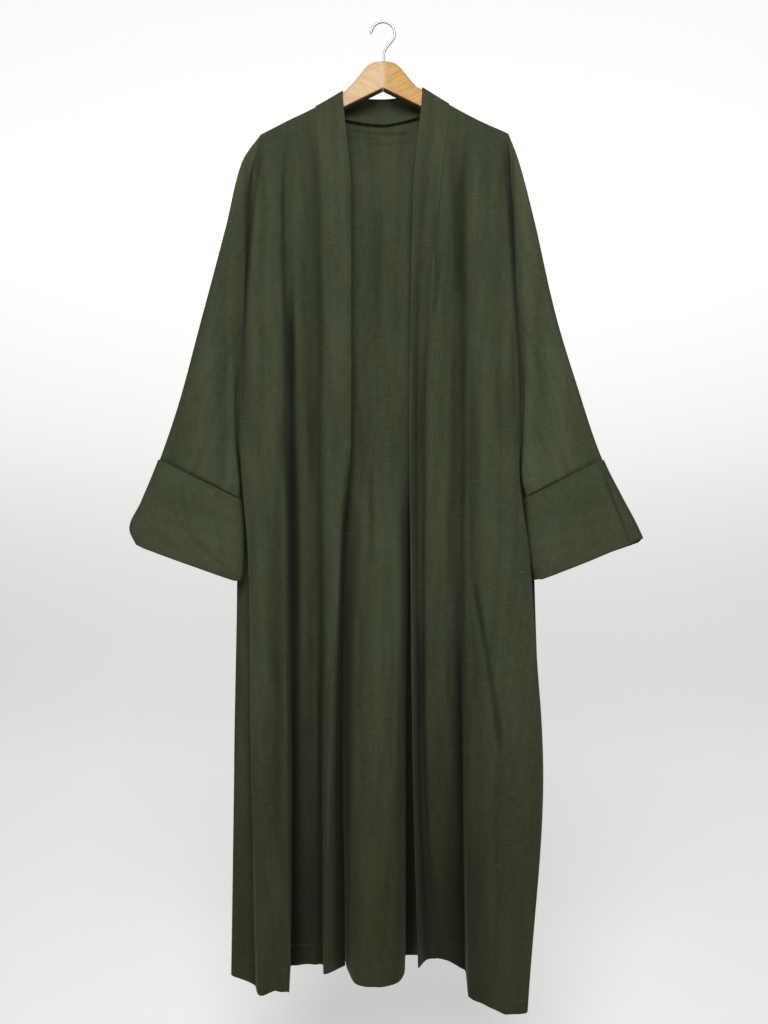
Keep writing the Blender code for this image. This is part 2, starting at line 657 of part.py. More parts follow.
def arm_outline(side):
    """Outline of one half of the hanger, as x and drop, from the crown round the arm's end."""
    rows = LEFT_SHOULDER if side < 0.0 else RIGHT_SHOULDER
    shoulder_end = max(abs(row.x) for row in rows)
    end = shoulder_end - ARM_END_INSET
    outline = crown_outline(side)
    last_straight = end - ARM_END_ROUNDING
    for step in range(ARM_STEPS + 1):
        x = (NECK_HALF + (last_straight - NECK_HALF) * step / ARM_STEPS) * side
        outline.append((x, shoulder_drop(x) + ARM_BELOW_CLOTH))
    end_top = outline[-1][1]
    centre_drop = end_top + 0.5 * ARM_END_HEIGHT
    for angle in ARM_END_ANGLES:
        x = last_straight + ARM_END_ROUNDING * math.cos(math.radians(angle))
        drop = centre_drop - 0.5 * ARM_END_HEIGHT * math.sin(math.radians(angle))
        outline.append((x * side, drop))
    outline.append((NECK_HALF * side, VEE_AT_NECK))
    outline.append((0.0, VEE_TOP))
    return outline


def make_arm(name, side, material, parent):
    """One wooden half of the hanger: its outline drawn through the arm's depth, long edges rounded."""
    bm = bmesh.new()
    shift = 0.5 * SEAM_GAP * side
    verts = [bm.verts.new(point(x + (shift if x == 0.0 else 0.0), 0.5 * ARM_DEPTH, drop))
             for x, drop in arm_outline(side)]
    face = bm.faces.new(verts)
    drawn = bmesh.ops.extrude_face_region(bm, geom=[face], use_keep_orig=True)
    moved = [item for item in drawn["geom"] if isinstance(item, bmesh.types.BMVert)]
    bmesh.ops.translate(bm, verts=moved, vec=(0.0, ARM_DEPTH * MM, 0.0))
    bmesh.ops.recalc_face_normals(bm, faces=bm.faces[:])
    rims = [edge for edge in bm.edges
            if abs(edge.verts[0].co.y - edge.verts[1].co.y) < 0.5 * ARM_DEPTH * MM
            and max(abs(vert.co.x) for vert in edge.verts) > ARM_JOINT_SHARP_HALF * MM]
    bmesh.ops.bevel(bm, geom=rims, offset=ARM_EDGE_ROUNDING * MM, offset_type="OFFSET", segments=2,
                    profile=0.5, affect="EDGES", clamp_overlap=True, material=-1)
    bmesh.ops.triangulate(bm, faces=bm.faces[:])
    bmesh.ops.recalc_face_normals(bm, faces=bm.faces[:])
    mesh = bpy.data.meshes.new(name)
    bm.to_mesh(mesh)
    bm.free()
    mesh.shade_smooth()
    mesh.set_sharp_from_angle(angle=math.radians(40.0))
    return link_object(name, mesh, material, parent)


def hook_route():
    """Middle line of the wire, from the stem's foot to the hook's open tip."""
    centre_drop = HOOK_RADIUS - 0.5 * HOOK_WIRE
    route = list(HOOK_STEM)
    for angle in HOOK_ARC_ANGLES:
        turn = math.radians(angle)
        route.append(HookPoint(HOOK_RADIUS * math.cos(turn), centre_drop - HOOK_RADIUS * math.sin(turn)))
    return route + [HOOK_TIP]


def make_hook(name, material, parent):
    curve = bpy.data.curves.new(name, "CURVE")
    curve.dimensions = "3D"
    curve.bevel_depth = 0.5 * HOOK_WIRE * MM
    curve.bevel_resolution = HOOK_ROUNDING
    curve.use_fill_caps = True
    spline = curve.splines.new("POLY")
    route = hook_route()
    spline.points.add(len(route) - 1)
    for node, (x, drop) in zip(spline.points, route):
        node.co = (x * MM, 0.0, -drop * MM, 1.0)
    return link_object(name, curve, material, parent)


def build_body(materials, root):
    """Fronts, bands, back, sleeves, cuffs and collar, cut from surfaces that meet at the seams."""
    gap = 0.5 * SEAM_GAP * MM
    foot = UNDERARM_ROW
    back = panel_points(BACK, "back", {0: LEFT_ARMHOLE, len(BACK) - 1: RIGHT_ARMHOLE})
    back_out = outward(back, -1.0)
    sides = (
        ("left", 1.0, LEFT_FRONT, LEFT_BAND, LEFT_ARMHOLE, LEFT_SLEEVE, LEFT_SLEEVE_FOLD, 0),
        ("right", -1.0, RIGHT_FRONT, RIGHT_BAND, RIGHT_ARMHOLE, RIGHT_SLEEVE, RIGHT_SLEEVE_FOLD, -1),
    )
    bands = {}
    pieces = []
    first, last = neck_columns()
    for columns in (slice(0, first + 1), slice(last, None)):
        line = unit(np.gradient(back[0, columns], axis=0))
        back_out[0, columns] = unit(np.cross(line, (0.0, 1.0, 0.0)) * -1.0)
    for side, sign, front_lines, band_lines, armhole, rings, fold, back_column in sides:
        whole_lines = front_lines[:-1] + band_lines
        whole = panel_points(whole_lines, "front", {0: armhole})
        whole_out = outward(whole, sign)
        split = column_places(whole_lines).index(float(len(front_lines) - 1))
        shoulder = unit(np.gradient(whole[0], axis=0))
        whole_out[0] = unit(np.cross(shoulder, (0.0, 1.0, 0.0)) * -sign)
        front = whole[:, :split + 1].copy()
        front_out = whole_out[:, :split + 1].copy()
        band = whole[:, split:].copy()
        band_out = whole_out[:, split:].copy()
        sleeve = sleeve_points(rings, fold, front, back, 0, back_column)
        sleeve_out = outward(sleeve, sign, closed=True)
        share_normals(front_out[foot:, 0], back_out[foot:, back_column])
        share_normals(sleeve_out[0, :foot + 1], front_out[:foot + 1, 0])
        share_normals(sleeve_out[0, foot:][::-1], back_out[:foot + 1, back_column])
        for corner_row, ring_places in ((0, (0, -1)), (foot, (foot,))):
            corner = unit(front_out[corner_row, 0] + back_out[corner_row, back_column])
            front_out[corner_row, 0] = corner
            back_out[corner_row, back_column] = corner
            for ring_place in ring_places:
                sleeve_out[0, ring_place] = corner
        bands[side] = (band, band_out)
        pieces.append((side, front, front_out, sleeve, sleeve_out))
    collar = collar_points(back, bands["left"][0], bands["right"][0])
    collar_out = outward(collar, -1.0)
    share_normals(collar_out[1:-1, 0], back_out[0, first + 1:last])
    collar_out[0] = bands["left"][1][0]
    collar_out[-1] = bands["right"][1][0]
    for edge in ("top", "first", "last"):
        draw_in(back, edge, gap)
    wall_from_middle("back", back, back_out, CLOTH_WALL, materials["cloth"], root)
    for side, front, front_out, sleeve, sleeve_out in pieces:
        band, band_out = bands[side]
        for edge in ("top", "first", "last"):
            draw_in(front, edge, gap)
        for edge in ("top", "first"):
            draw_in(band, edge, gap)
        make_cuff("cuff_" + side, sleeve, sleeve_out, materials["cloth"], root)
        draw_in(sleeve, "top", corner_openings(sleeve[0], (0, foot, -1)))
        wall_from_middle("front_" + side, front, front_out, CLOTH_WALL, materials["cloth"], root)
        wall_from_middle("band_" + side, band, band_out, BAND_WALL, materials["cloth"], root)
        wall_from_middle("sleeve_" + side, sleeve, sleeve_out, CLOTH_WALL, materials["cloth"], root, True)
    draw_in(collar, "first", corner_openings(collar[:, 0], (0, -1)))
    for edge in ("top", "foot"):
        draw_in(collar, edge, gap)
    wall_from_middle("collar_back", collar, collar_out, BAND_WALL, materials["collar_cloth"], root)


def clear_scene():
    for item in list(bpy.data.objects):
        bpy.data.objects.remove(item, do_unlink=True)


def main():
    clear_scene()
    root = link_object("kimono", None, None, None)
    materials = {name: new_material(name) for name in FINISHES}
    build_body(materials, root)
    make_arm("hanger_arm_left", -1.0, materials["light_wood"], root)
    make_arm("hanger_arm_right", 1.0, materials["warm_wood"], root)
    make_hook("hanger_hook", materials["chrome"], root)


main()
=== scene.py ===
"""Looks of the long open-front kimono on its wooden hanger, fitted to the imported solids.

Sizes in the tables are millimetres. "out" is how far a point stands in front of the hanger's
middle plane, so it runs along -Y, and "drop" is how far it lies below the hook's inner top.
Left and right are as seen from the front.
"""

import math
import random
from collections import namedtuple

import bmesh
import bpy
import numpy as np
from mathutils import Matrix, Vector


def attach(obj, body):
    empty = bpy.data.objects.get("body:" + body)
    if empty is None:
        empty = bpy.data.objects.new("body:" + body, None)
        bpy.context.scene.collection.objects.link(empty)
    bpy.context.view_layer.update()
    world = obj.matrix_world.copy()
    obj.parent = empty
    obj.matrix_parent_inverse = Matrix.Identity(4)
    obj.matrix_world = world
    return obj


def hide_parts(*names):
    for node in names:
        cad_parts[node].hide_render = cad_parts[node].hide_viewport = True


bl_info = {
    "name": "Open-front Kimono",
    "version": (1, 0, 0),
    "blender": (4, 5, 0),
    "location": "3D View > Sidebar > Kimono",
    "description": "Builds the cloth, the hanger and the studio of a long open-front kimono",
    "category": "Object",
}

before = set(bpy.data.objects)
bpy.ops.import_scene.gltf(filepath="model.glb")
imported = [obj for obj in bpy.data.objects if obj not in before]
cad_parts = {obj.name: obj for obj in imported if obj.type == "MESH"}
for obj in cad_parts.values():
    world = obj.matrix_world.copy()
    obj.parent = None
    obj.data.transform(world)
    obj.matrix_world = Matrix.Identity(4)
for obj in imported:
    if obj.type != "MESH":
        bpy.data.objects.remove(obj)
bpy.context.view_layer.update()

MM = 0.001

# Heights of the sections that the fold tables give, as drops below the hook; the top follows the
# shoulder line
HEIGHTS = ("top", "chest", "underarm", "tuck", "cuff", "knee", "hem")
CHEST = 280.0
UNDERARM = 660.0
TUCK = 700.0
CUFF = 850.0
KNEE = 1150.0
HEM = 1484.0

# The hem doesn't hang level: how much lower than its drop it is, across the width
HemPoint = namedtuple("HemPoint", "x extra")
HEM_SAG = (
    HemPoint(-240.0, 3.0),
    HemPoint(-150.0, 3.5),
    HemPoint(-125.0, 0.0),
    HemPoint(-58.0, 0.0),
    HemPoint(-42.0, 2.5),
    HemPoint(22.0, 2.5),
    HemPoint(38.0, 0.0),
    HemPoint(100.0, 0.0),
    HemPoint(140.0, 10.5),
    HemPoint(230.0, 10.5),
)

# How the cloth bends over the hanger's arm: steps of (share of the depth, drop)
ArmRoll = namedtuple("ArmRoll", "depth_share drop")
ARM_ROLL = (
    ArmRoll(0.00, 0.0),
    ArmRoll(0.30, 0.15),
    ArmRoll(0.56, 0.7),
    ArmRoll(0.78, 2.0),
    ArmRoll(0.92, 4.2),
    ArmRoll(0.98, 7.2),
    ArmRoll(1.00, 11.0),
)
ROLL_FOOT = ARM_ROLL[-1].drop

# Rows follow the shoulder line at the top and lie level further down
ROW_LEVEL_TOP = 155.0
ROW_LEVEL_DONE = 380.0
ROW_SPACING = 5.0
NECK_ROW_SPACING = 2.5
NECK_ROWS_END = 216.0

# Turned hem: its height, and the groove and the rows of points along its stitches
HEM_BAND = 31.0
HEM_GROOVE = 0.6
HEM_GROOVE_HALF = 1.3
HEM_GROOVE_ROWS = (-1.6, -0.8, 0.0, 0.8, 1.6)
HEM_FOLD_STEP = 0.6

# Shoulder lines, from the neck's free edge out to the end of the shoulder
ShoulderPoint = namedtuple("ShoulderPoint", "x drop")
LEFT_SHOULDER = (
    ShoulderPoint(-192.0, 177.6),
    ShoulderPoint(-150.0, 156.0),
    ShoulderPoint(-105.6, 134.4),
    ShoulderPoint(-63.0, 110.0),
)
RIGHT_SHOULDER = (
    ShoulderPoint(61.5, 104.5),
    ShoulderPoint(104.0, 130.4),
    ShoulderPoint(150.0, 155.0),
    ShoulderPoint(187.0, 171.6),
    ShoulderPoint(196.6, 176.0),
)

# Back neck: the seam under the stand collar and the collar's free edge
NeckPoint = namedtuple("NeckPoint", "x out drop")
NECK_SEAM = (
    NeckPoint(-105.6, 0.0, 134.4),
    NeckPoint(-100.0, -5.0, 131.0),
    NeckPoint(-94.0, -8.6, 132.0),
    NeckPoint(-85.0, -11.0, 135.0),
    NeckPoint(-60.0, -16.0, 143.4),
    NeckPoint(0.0, -22.0, 148.8),
    NeckPoint(28.0, -20.5, 145.0),
    NeckPoint(57.0, -16.0, 139.0),
    NeckPoint(84.0, -11.0, 132.0),
    NeckPoint(92.5, -8.6, 128.0),
    NeckPoint(98.5, -5.0, 127.0),
    NeckPoint(104.0, 0.0, 130.4),
)
CollarPoint = namedtuple("CollarPoint", "share x out drop")
COLLAR_EDGE = (
    CollarPoint(0.00, -63.0, 0.0, 110.0),
    CollarPoint(0.055, -62.0, -5.2, 110.2),
    CollarPoint(0.11, -60.0, -9.0, 111.0),
    CollarPoint(0.17, -56.5, -11.5, 111.6),
    CollarPoint(0.28, -40.0, -16.0, 111.0),
    CollarPoint(0.50, 0.0, -20.0, 110.8),
    CollarPoint(0.72, 39.0, -16.0, 108.0),
    CollarPoint(0.83, 55.0, -11.5, 106.0),
    CollarPoint(0.89, 58.5, -9.0, 105.0),
    CollarPoint(0.945, 60.5, -5.2, 104.5),
    CollarPoint(1.00, 61.5, 0.0, 104.5),
)
COLLAR_BULGE = 4.0
COLLAR_BULGE_FADE = 6.0
COLLAR_FOOT_FADE = 0.12

# Fold lines run down the cloth, with x and out at each height; cells is how many strips lie between
# a line and the next
FoldLine = namedtuple("FoldLine", ["name", "cells"] + [
    height + field for height in HEIGHTS for field in ("_x", "_out")
])
LEFT_FRONT = (
    FoldLine("side seam", 2, -192, 9, -213, 3.5, -229, -3.75, -227, -19, -221, -26, -221, -25, -218, -22),
    FoldLine("side edge", 2, -188, 9, -209, 8, -228.5, 2, -237.5, -14, -233, -20, -235, -5, -235, 24),
    FoldLine("side recess", 2, -184, 9, -203, 7.5, -226.5, 8, -223, -5, -207, -9, -204, 10, -196, 54),
    FoldLine("side ridge", 3, -179, 9, -196, 12.5, -222.5, 13, -221, 15, -209.5, 18, -202, 38, -181, 84),
    FoldLine("fold face", 2, -168, 9, -176, 15, -187, 21, -186, 23, -181, 30, -175, 50, -160, 75),
    FoldLine("fold shoulder", 3, -158, 9, -161, 14, -160, 17, -158, 19, -153, 25, -147, 45, -140, 82),
    FoldLine("deep valley", 2, -148, 9, -154, 10, -143, 4, -142.5, 2, -142, -4, -143.5, -5, -146, 4),
    FoldLine("flat run", 2, -133, 9, -130, 13, -123, 12, -122, 11, -119, 8, -119, 3, -118, 3),
    FoldLine("soft valley", 2, -118, 9, -109, 9, -103, 5, -103, 5, -101, 3, -98, 1, -95, 3),
    FoldLine("band seam", 0, -105.6, 9, -96, 12, -91, 11, -91, 11, -90, 12, -92, 15, -92, 20),
)
LEFT_BAND = (
    LEFT_FRONT[-1]._replace(cells=1),
    FoldLine("band middle", 1, -91, 9, -80, 14, -77, 13.5, -78, 14, -80, 17, -88, 23, -91.5, 25),
    FoldLine("band crease", 2, -77, 9, -64, 15, -62, 14, -64, 15, -69, 20, -83, 28, -90, 30),
    FoldLine("free edge", 0, -63, 9, -49.6, 14, -50, 12, -52.5, 11, -64, 8, -68, 6, -60, 4),
)
RIGHT_FRONT = (
    FoldLine("side seam", 2, 196.6, 9, 204, 3.5, 217.6, -3.75, 219, -19, 233, -26, 238, -14, 224, 18),
    FoldLine("side edge", 2, 193, 9, 201, 8, 217.5, 2, 227, -14, 241, -19, 245, 10, 217, 68),
    FoldLine("side recess", 2, 189, 9, 197.5, 8, 216, 8, 214, -5, 228, -8, 247, 28, 213, 93),
    FoldLine("side ridge", 3, 184, 9, 192, 12, 213, 13, 212.5, 14, 229, 20, 241, 47, 207, 117),
    FoldLine("fold face outer", 2, 170, 9, 175, 16, 188, 20, 188, 22, 192, 31, 200, 60, 180, 121),
    FoldLine("fold face inner", 2, 155, 9, 152, 17, 155, 21, 155, 22, 155, 30, 160, 54, 146, 98),
    FoldLine("fold shoulder", 3, 143, 9, 134, 14, 133, 14, 133, 15, 131, 19, 129, 40, 127.5, 82),
    FoldLine("deep valley", 2, 132, 9, 121, 8, 120, 3.5, 119.5, 3, 118, 3, 126, -2, 130, 11),
    FoldLine("flat run", 2, 118, 9, 106, 10.5, 100, 10, 99, 10, 97, 8, 98, -2, 103, -11),
    FoldLine("band seam", 0, 104, 9, 89, 10, 69.8, 8, 69.5, 7, 67.7, 3, 70, -4, 85, -17),
)
RIGHT_BAND = (
    RIGHT_FRONT[-1]._replace(cells=1),
    FoldLine("band middle", 1, 90, 9, 79, 8, 64, 0, 64, -1, 64, -4, 66, -10, 79, -17),
    FoldLine("band trough", 2, 76, 9, 66, 8, 57, -5, 57, -5.5, 58, -8, 60, -12, 72, -15),
    FoldLine("free edge", 0, 61.5, 9, 46.8, 14, 42, 18, 42, 18, 43.6, 16, 46.8, 14, 55.4, 12),
)
BACK = (
    FoldLine("left seam", 2, -192, -9, -213, -11, -229, -3.75, -227, -19, -221, -26, -221, -25, -218, -22),
    FoldLine("left edge", 2, -172, -9, -198, -14, -212, -16, -212, -22, -205, -28, -205, -29, -196, -29),
    FoldLine("left trough", 2, -150, -9, -165, -13, -172, -15, -173, -15, -178, -16, -178, -12, -178, -8),
    FoldLine("left swell", 2, -128, -9, -128, -15, -126, -19, -126, -20, -125, -25, -122, -29, -122, -29),
    FoldLine("left neck corner", 3, -105.6, -9, -98, -14, -95, -18, -95, -19, -94, -24, -92, -28, -90, -29),
    FoldLine("fold root left", 2, -88, -13, -65, -15, -68, -18, -68, -18, -69, -20, -70, -22, -66, -27),
    FoldLine("fold flank left", 2, -64, -17, -46, -15, -49, -16, -49, -15, -52, -8, -55, 5, -54, 19),
    FoldLine("fold crest left", 2, -34, -21, -25, -15, -26, -13, -27, -12, -31, 6, -36, 30, -40, 55),
    FoldLine("fold crest", 2, 0, -23, 0, -16, 0, -12, 0, -10, -1, 14, -5, 40, -12, 65),
    FoldLine("fold crest right", 2, 34, -21, 22, -15, 22, -11, 22, -9, 22, 12, 20, 33, 20, 52),
    FoldLine("fold flank right", 2, 62, -17, 40, -15, 40, -13, 39, -13, 36, -4, 33, 3, 33, 25),
    FoldLine("fold root right", 3, 86, -13, 56, -15, 54, -17, 52, -18, 44, -21, 38, -26, 36.5, -29),
    FoldLine("right neck corner", 2, 104, -9, 92, -14, 90, -18, 89, -19, 87, -25, 85, -29, 86, -29),
    FoldLine("right swell", 2, 126, -9, 125, -15, 126, -19, 126, -20, 127, -25, 128, -29, 126, -29),
    FoldLine("right trough", 2, 150, -9, 156, -13, 164, -15, 165, -15, 168, -16, 172, -12, 168, -8),
    FoldLine("right edge", 2, 176, -9, 190, -14, 200, -16, 202, -22, 214, -28, 216, -28, 200, -27),
    FoldLine("right seam", 0, 196.6, -9, 204, -11, 217.6, -3.75, 219, -19, 233, -26, 238, -14, 224, 18),
)
NECK_FIRST_LINE = 4
NECK_LAST_LINE = 12

# The armhole seam from the shoulder's end to the underarm, on the front and the back layer
ArmholePoint = namedtuple("ArmholePoint", "x drop front back")
LEFT_ARMHOLE = (
    ArmholePoint(-192.0, 188.6, 9.0, -9.0),
    ArmholePoint(-208.0, 240.0, 7.0, -9.0),
    ArmholePoint(-213.0, 280.0, 3.5, -9.0),
    ArmholePoint(-214.0, 340.0, 2.0, -9.0),
    ArmholePoint(-216.0, 440.0, 1.5, -9.0),
    ArmholePoint(-219.5, 520.0, 1.5, -9.0),
    ArmholePoint(-227.0, 600.0, 1.5, -9.0),
    ArmholePoint(-229.0, UNDERARM, 1.5, -9.0),
)
RIGHT_ARMHOLE = (
    ArmholePoint(196.6, 187.0, 9.0, -9.0),
    ArmholePoint(200.0, 240.0, 7.0, -9.0),
    ArmholePoint(205.0, 300.0, 3.5, -9.0),
    ArmholePoint(208.0, 385.0, 2.0, -9.0),
    ArmholePoint(213.5, 511.0, 1.5, -9.0),
    ArmholePoint(217.5, 600.0, 1.5, -9.0),
    ArmholePoint(217.6, UNDERARM, 1.5, -9.0),
)
ARMHOLE_FOOT_RADIUS = 10.0

# Sleeve rings from the armhole to the hand; half is half the sleeve's depth at its middle
SleeveRing = namedtuple("SleeveRing", (
    "name cells outer_x outer_drop outer_out inner_x inner_drop inner_out half lean"
))
LEFT_SLEEVE = (
    SleeveRing("armhole", 2, -192, 177.6, 0, -229, UNDERARM, -3.75, 5, 0),
    SleeveRing("shoulder bend", 2, -222, 221, -1, -230.5, 667, 0, 7, 0),
    SleeveRing("upper arm", 3, -247, 320, -1, -229.0, 684, 6.5, 9, 0),
    SleeveRing("elbow", 2, -290, 483, 0, -226.5, 708, 8, 11, 0),
    SleeveRing("forearm", 2, -320.5, 597, 0, -224.5, 731, 7.5, 12, 0),
    SleeveRing("cuff seam", 1, -351.5, 689, 0, -225, 751, 5, 13, 0),
    SleeveRing("cuff middle", 1, -379.5, 757, 0, -221, 813, 3, 13.5, 0),
    SleeveRing("cuff widest", 1, -397, 797, 0, -221, 860, 3, 13.5, 0),
    SleeveRing("cuff foot", 0, -387, 821, 0, -224, 878, 3, 13, 0),
)
RIGHT_SLEEVE = (
    SleeveRing("armhole", 2, 196.6, 176.0, 0, 217.6, UNDERARM, -3.75, 5, 0),
    SleeveRing("shoulder bend", 2, 213.5, 219, -1, 219.5, 667, 0, 7, 0),
    SleeveRing("upper arm", 3, 236.5, 304, -1, 218.0, 683, 6.5, 9, 0),
    SleeveRing("elbow", 2, 273.5, 466, 0, 217.5, 706, 8, 11, 0),
    SleeveRing("forearm", 2, 304.5, 568, 0, 219.5, 727, 7.5, 12, 1),
    SleeveRing("cuff seam", 1, 346, 690, 0, 225, 748, 5, 13, 6),
    SleeveRing("cuff middle", 1, 375.5, 750, 0, 230, 806, 3, 13.5, 9),
    SleeveRing("cuff widest", 1, 395, 787, 0, 236, 855, 3, 13.5, 11),
    SleeveRing("cuff foot", 0, 406.5, 812, 0, 240, 876, 3, 13, 12),
)
CUFF_SEAM_RING = 5
SLEEVE_ROUNDING = 0.35
SLEEVE_LEAN_FADE = 3
ARMHOLE_FADE_RINGS = 3.0

# Soft fold down the front of each sleeve, beside the body
SleeveFold = namedtuple("SleeveFold", "x top_drop foot_drop depth width")
SLEEVE_FOLD_FADE = 120.0
LEFT_SLEEVE_FOLD = SleeveFold(-255.0, 380.0, 800.0, 5.0, 11.0)
RIGHT_SLEEVE_FOLD = SleeveFold(248.0, 340.0, 760.0, 3.5, 14.0)

# Creases in the hang of the cloth: a straight line bowed sideways, a trough where depth is above
# 0 and a ridge where it is below, both as seen from the front
Crease = namedtuple("Crease", "name top_x top_drop foot_x foot_drop bow width depth")
CREASE_FADE = 0.22
FRONT_CREASES = (
    Crease("left, beside the band", -110, 165, -101, 600, 2, 7.0, 3.2),
    Crease("left, chest valley", -156, 205, -142, 620, 0, 9.0, 4.2),
    Crease("left, chest hollow", -130, 130, -126, 560, 0, 22.0, 4.4),
    Crease("left, upper valley line", -144, 380, -141.5, 920, 0, 3.2, 4.5),
    Crease("left, waist hollow", -120, 320, -117, 1000, 0, 14.0, 5.6),
    Crease("left, skirt hollow", -118, 820, -117, 1700, 0, 12.0, 3.8),
    Crease("left, beside the band's crest", -98, 930, -100, 1700, 0, 4.5, 3.2),
    Crease("left, outer chest ridge", -178, 235, -182, 520, 3, 8.0, -1.8),
    Crease("left, deep valley", -141.5, 560, -144, 1700, 0, 6.0, 4.0),
    Crease("left, valley flank", -156, 560, -155, 1330, 0, 13.0, 6.5),
    Crease("left, armhole valley", -211, 205, -212, 400, -2, 4.5, 4.6),
    Crease("left, armhole line", -212, 330, -222, 650, 0, 2.6, 2.6),
    Crease("left, armhole ridge", -200, 215, -202, 420, -2, 7.0, -2.2),
    Crease("left, side drape", -188, 430, -196, 760, 3, 9.0, 2.2),
    Crease("left, flat run line", -112, 420, -110, 780, -2, 4.0, 1.2),
    Crease("left, skirt line", -170, 740, -177, 1180, 3, 7.0, 1.8),
    Crease("left, side edge line", -206, 800, -207, 1260, 0, 2.4, 2.8),
    Crease("left, side edge fold", -200, 790, -201, 1270, 0, 3.6, -1.6),
    Crease("left, side hollow", -196, 1190, -190, 1640, 0, 2.6, 3.0),
    Crease("left, diagonal pull", -119, 950, -92, 1120, 0, 6.0, 2.2),
    Crease("left, fold face pull", -163, 980, -150, 1150, 2, 5.0, 2.2),
    Crease("left, skirt ridge", -108, 820, -106, 1560, 2, 5.0, -1.4),
    Crease("left, hem flute", -160, 1330, -163, 1640, 0, 6.0, 3.0),
    Crease("left, hem flute inner", -176, 1360, -178, 1640, 0, 5.0, -2.0),
    Crease("left, band dent", -78, 240, -70, 420, 2, 6.0, 0.9),
    Crease("left, turn of the band", -60, 900, -72, 1180, 0, 4.0, 0.8),
    Crease("right, wavy crease upper", 86, 284, 83, 390, -3, 4.2, 1.8),
    Crease("right, wavy crease lower", 85, 362, 77, 478, 4, 3.6, 2.2),
    Crease("right, chest valley", 110, 165, 119, 460, 2, 10.0, 2.8),
    Crease("right, waist valley", 112, 430, 124, 800, 3, 9.0, 1.4),
    Crease("right, broad hollow", 100, 220, 104, 980, 0, 24.0, 3.0),
    Crease("right, valley flank", 138, 420, 140, 1700, 0, 15.0, 6.0),
    Crease("right, chest ridge", 142, 190, 148, 470, 3, 10.0, -1.9),
    Crease("right, deep valley", 121, 700, 131, 1700, 0, 4.5, 2.6),
    Crease("right, side drape", 178, 320, 187, 720, -3, 9.0, 2.2),
    Crease("right, armhole valley", 201, 180, 207, 420, 0, 3.6, 5.6),
    Crease("right, armhole line", 207, 370, 216, 650, 2, 3.0, 2.6),
    Crease("right, underarm line", 200, 470, 206, 640, 2, 4.0, 1.6),
    Crease("right, fine press line", 133, 660, 137, 880, 2, 2.2, 1.0),
    Crease("right, long diagonal crease", 138, 860, 182, 1165, 2, 4.6, 4.2),
    Crease("right, diagonal ridge", 148, 870, 191, 1150, 2, 5.0, -2.2),
    Crease("right, skirt line", 168, 1130, 163, 1560, 3, 8.0, 2.0),
    Crease("right, hem flute", 176, 1370, 171, 1640, 2, 7.0, -2.4),
    Crease("right, band dent", 72, 230, 60, 420, -2, 5.0, 0.9),
    Crease("left sleeve, upper dent", -238, 300, -252, 440, 3, 8.0, 1.8),
    Crease("left sleeve, inner fold", -250, 460, -256, 760, 3, 6.0, 2.4),
    Crease("left sleeve, outer fold", -298, 500, -338, 740, 6, 12.0, 2.2),
    Crease("right sleeve, upper dent", 226, 300, 240, 420, -3, 8.0, 0.6),
    Crease("right sleeve, inner fold", 246, 420, 260, 735, -4, 8.0, 2.0),
    Crease("right sleeve, outer fold", 290, 470, 326, 720, -6, 12.0, 2.2),
)
BACK_CREASES = (
    Crease("neck crease upper", -66, 160, 56, 165, -4, 2.6, 3.0),
    Crease("neck crease middle", -62, 173, 2, 171, -2, 2.6, 1.8),
    Crease("neck crease lower", -34, 181, 58, 176, -6, 2.8, 2.0),
    Crease("middle line", -12, 250, -18, 560, 4, 8.0, 1.8),
    Crease("upper right line", 24, 240, 20, 640, -3, 7.0, 1.6),
    Crease("fold flank left", -40, 580, -34, 770, 2, 6.0, 2.2),
    Crease("fold centre", -22, 690, -18, 870, 0, 4.0, 2.2),
    Crease("fold face left", -36, 890, -40, 1290, 3, 6.0, 2.6),
    Crease("fold face right", 16, 760, 12, 1210, 3, 6.0, 2.0),
    Crease("fold foot", -8, 1060, -18, 1640, 2, 5.0, 1.6),
    Crease("left drape", -140, 300, -152, 820, 6, 12.0, -3.0),
    Crease("right drape", 138, 320, 148, 900, -5, 12.0, -2.6),
    Crease("left ridge", -108, 420, -106, 1250, 4, 9.0, 2.0),
    Crease("right ridge", 108, 380, 112, 1180, -4, 9.0, 2.0),
    Crease("shoulder pull left", -96, 190, -150, 340, 8, 7.0, -1.8),
    Crease("shoulder pull right", 94, 190, 146, 350, -8, 7.0, -1.8),
    Crease("left armhole valley", -214, 255, -216, 390, 0, 4.0, -2.6),
    Crease("right armhole valley", 204, 250, 208, 390, 0, 4.0, -2.6),
    Crease("left skirt drape", -176, 820, -182, 1350, 3, 9.0, -2.6),
    Crease("right skirt drape", 186, 780, 196, 1330, -3, 9.0, -2.6),
    Crease("left hem flute", -132, 1250, -138, 1640, 0, 8.0, -3.0),
    Crease("right hem flute", 150, 1220, 146, 1640, 0, 8.0, -2.6),
    Crease("left sleeve fold", -258, 400, -268, 730, 4, 9.0, -2.6),
    Crease("right sleeve fold", 248, 380, 262, 710, -4, 9.0, -2.4),
    Crease("left sleeve outer fold", -300, 520, -332, 720, -5, 12.0, -2.0),
    Crease("right sleeve outer fold", 290, 500, 322, 700, 5, 12.0, -2.0),
)
CUFF_FRONT_CREASES = (
    Crease("left cuff, diagonal upper", -316, 720, -300, 800, -3, 3.2, 2.2),
    Crease("left cuff, diagonal lower", -330, 770, -226, 872, -7, 3.6, 3.2),
    Crease("left cuff, lower ripple", -362, 790, -300, 838, 3, 6.0, -1.6),
    Crease("left cuff, inner dent", -262, 765, -248, 860, 2, 6.0, 1.6),
    Crease("right cuff, folded edge gap", 336, 682, 394, 838, -1, 2.4, 6.0),
    Crease("right cuff, folded edge", 328, 682, 386, 838, -1, 4.5, -1.2),
    Crease("right cuff, back strip", 352, 690, 412, 850, -1, 7.0, 4.0),
    Crease("right cuff, middle ripple", 268, 765, 302, 862, 3, 7.0, 1.8),
    Crease("right cuff, lower ripple", 316, 770, 342, 846, -3, 6.0, 1.4),
)
